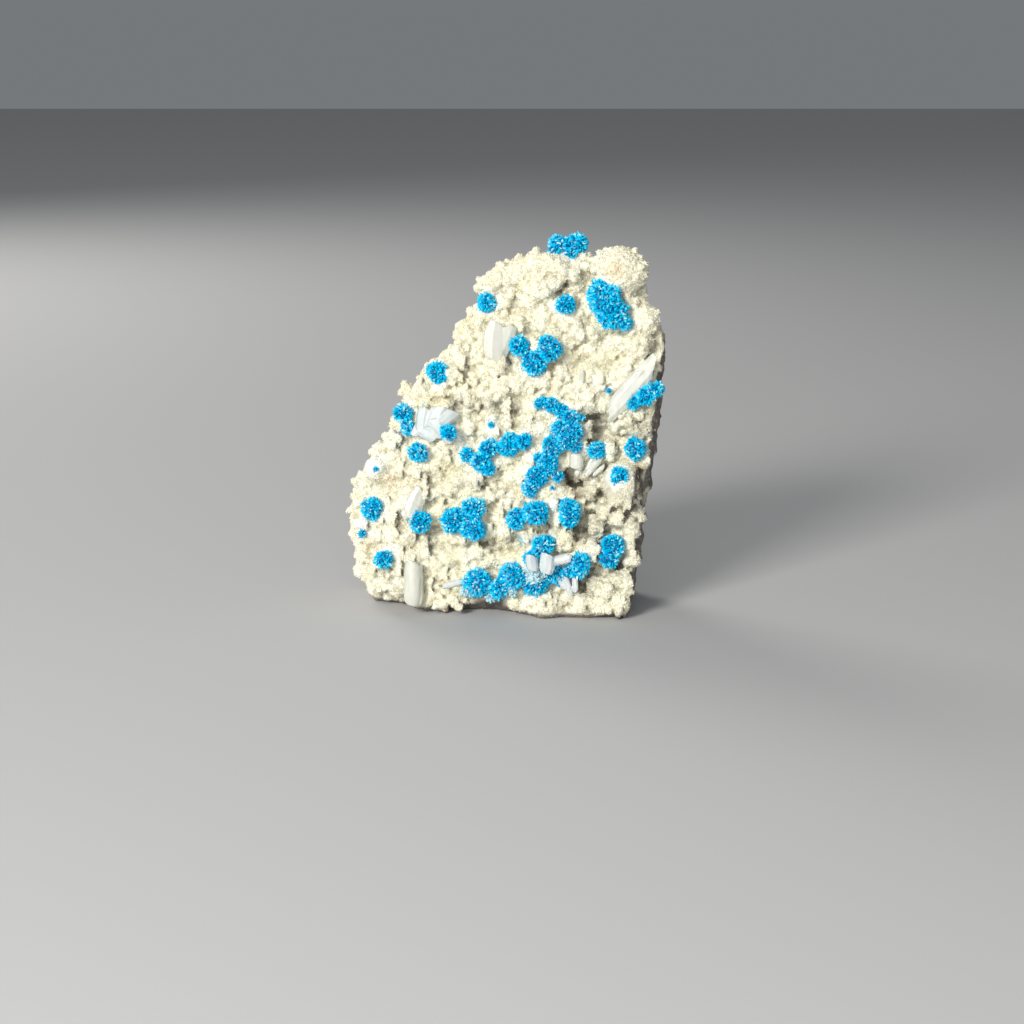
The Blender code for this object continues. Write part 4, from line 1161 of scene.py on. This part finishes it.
def crystal_blade(x, y, z, length, width, thickness, lean, turn, low, high, slant, edge):
    """One blade: a flattened prism, narrowed to both ends, cut slanting and softened along its edges."""
    deselect()
    bpy.ops.mesh.primitive_cylinder_add(
        vertices=8, radius=0.5, depth=1.0, location=(0.0, 0.0, 0.0), rotation=(0.0, 0.0, math.radians(22.5)))
    blade = bpy.context.active_object
    settle(blade)
    bpy.ops.object.mode_set(mode="EDIT")
    for height in PRISM_WAIST:
        bpy.ops.mesh.select_all(action="SELECT")
        bpy.ops.mesh.bisect(plane_co=(0.0, 0.0, height), plane_no=(0.0, 0.0, 1.0))
    bpy.ops.object.mode_set(mode="OBJECT")
    for share, bottom, top in ((low, -0.6, -0.4), (high, 0.4, 0.6)):
        pick_points(blade, bottom, top)
        bpy.ops.transform.resize(value=(share, (1.0 + share) / 2.0, 1.0), center_override=(0.0, 0.0, 0.0))
        bpy.ops.object.mode_set(mode="OBJECT")
    bpy.ops.object.mode_set(mode="EDIT")
    for side, tilt in ((1.0, slant), (-1.0, -0.6 * slant)):
        lean_over = math.radians(tilt)
        bpy.ops.mesh.select_all(action="SELECT")
        bpy.ops.mesh.bisect(
            plane_co=(0.0, 0.0, side * PRISM_CUT),
            plane_no=(math.sin(lean_over), CUT_TILT, side * math.cos(lean_over)),
            use_fill=True, clear_outer=True)
    bpy.ops.mesh.select_all(action="SELECT")
    bpy.ops.transform.resize(
        value=(width * MM, thickness * MM, length * CUT_ALLOWANCE * MM), center_override=(0.0, 0.0, 0.0))
    bpy.ops.mesh.normals_make_consistent(inside=False)
    bpy.ops.object.mode_set(mode="OBJECT")
    soft = blade.modifiers.new("edge", "BEVEL")
    soft.width = edge * MM
    soft.segments = 3
    soft.limit_method = "ANGLE"
    soft.angle_limit = math.radians(EDGE_ANGLE)
    apply_all(blade)
    blade.rotation_euler = (math.radians(TOP_BACK), math.radians(lean), math.radians(turn))
    blade.location = mm(x, y, z)
    settle(blade)
    return blade


def build_crystal(name, blades):
    """A crystal or a group of them grown into each other."""
    grown = [crystal_blade(*blade) for blade in blades]
    crystal = join(grown, name + "_crystal")
    if len(grown) > 1:
        reskin(crystal, CRYSTAL_VOXEL)
        soften(crystal, 1, 0.3)
    pick(crystal)
    bpy.ops.object.shade_smooth_by_angle(angle=math.radians(SMOOTH_ANGLE))
    return crystal


def add_floor():
    """The plain pale floor."""
    deselect()
    bpy.ops.mesh.primitive_plane_add(size=FLOOR_SIZE, location=(0.0, 0.0, 0.0))
    floor = bpy.context.active_object
    floor.name = "studio_floor"
    material, _, shader, _ = new_material("studio_floor")
    shader.inputs["Base Color"].default_value = FLOOR_COLOUR
    shader.inputs["Roughness"].default_value = FLOOR_ROUGHNESS
    floor.data.materials.append(material)


def add_lights():
    """Soft studio light: a faint sky and square lights that look at the middle of the specimen."""
    world = bpy.data.worlds.new("studio")
    bpy.context.scene.world = world
    world.use_nodes = True
    sky = world.node_tree.nodes["Background"]
    sky.inputs["Color"].default_value = SKY_COLOUR
    sky.inputs["Strength"].default_value = SKY_STRENGTH
    for name, (place, size, power, colour) in LIGHTS.items():
        lamp = bpy.data.lights.new(name, "AREA")
        lamp.size = size
        lamp.energy = power
        lamp.color = colour
        item = bpy.data.objects.new(name, lamp)
        bpy.context.scene.collection.objects.link(item)
        item.location = place
        item.rotation_euler = (Vector(LIGHT_AIM) - Vector(place)).to_track_quat("-Z", "Y").to_euler()


def add_camera():
    """The camera at the photograph's angle."""
    lift = math.radians(VIEW_ELEVATION)
    back = Vector((0.0, -math.cos(lift), math.sin(lift)))
    camera = bpy.data.cameras.new("camera")
    camera.sensor_width = SENSOR
    camera.lens = LENS
    camera.clip_start, camera.clip_end = CLIP_RANGE
    item = bpy.data.objects.new("camera", camera)
    bpy.context.scene.collection.objects.link(item)
    item.location = mm(*VIEW_TARGET) + back * VIEW_DISTANCE
    item.rotation_euler = (-back).to_track_quat("-Z", "Y").to_euler()
    bpy.context.scene.camera = item


def dress_rock():
    """Dress the rock in its skin and its druse of tiny crystals."""
    colours = zeolite_colour_group()
    rock = build_rock()
    dress(rock, zeolite_material("zeolite_coat", colours, *COAT_FINISH), "matrix", "matrix")
    grain = drusy_grain()
    finish = zeolite_material("zeolite_druse", colours, *DRUSE_FINISH)
    for index, seed in enumerate(DRUSE_SEEDS):
        druse = scatter(rock, grain, f"druse_{index}", "coat", *DRUSE, seed)
        dress(druse, finish, "matrix")
    remove(grain)
    return rock


def dress_rosettes(rock):
    """Dress the rosettes, the white crystals among their blades and the pale tufts beside them."""
    rock_tree = BVHTree.FromObject(rock, bpy.context.evaluated_depsgraph_get())
    blade = cavansite_blade()
    blue = cavansite_material()
    frost = crystal_material("pale_cavansite")
    for index, (name, balls) in enumerate(ROSETTES.items()):
        rosette, white = build_rosette(name, balls, blade, rock_tree, ROSETTE_SEED + SEED_STEP * index)
        dress(rosette, blue, "cavansite", name)
        if white:
            dress(white, frost, "white_crystal")
    tufts, _ = build_rosette("pale_tufts", PALE_TUFTS, blade, rock_tree, TUFT_SEED)
    dress(tufts, frost, "white_crystal")
    remove(blade)


def dress_crystals():
    """Dress the clear and white crystals."""
    clear = crystal_material("clear_crystal")
    bluish = crystal_material("bluish_crystal")
    for name, blades in CRYSTAL_BLADES.items():
        finish = bluish if name in BLUISH_NODES else clear
        slot = "clear_crystal" if name in CLEAR_NODES else "white_crystal"
        dress(build_crystal(name, blades), finish, slot, name)


bpy.context.scene.view_settings.view_transform = "Standard"
add_camera()
add_floor()
add_lights()
dress_rosettes(dress_rock())
dress_crystals()
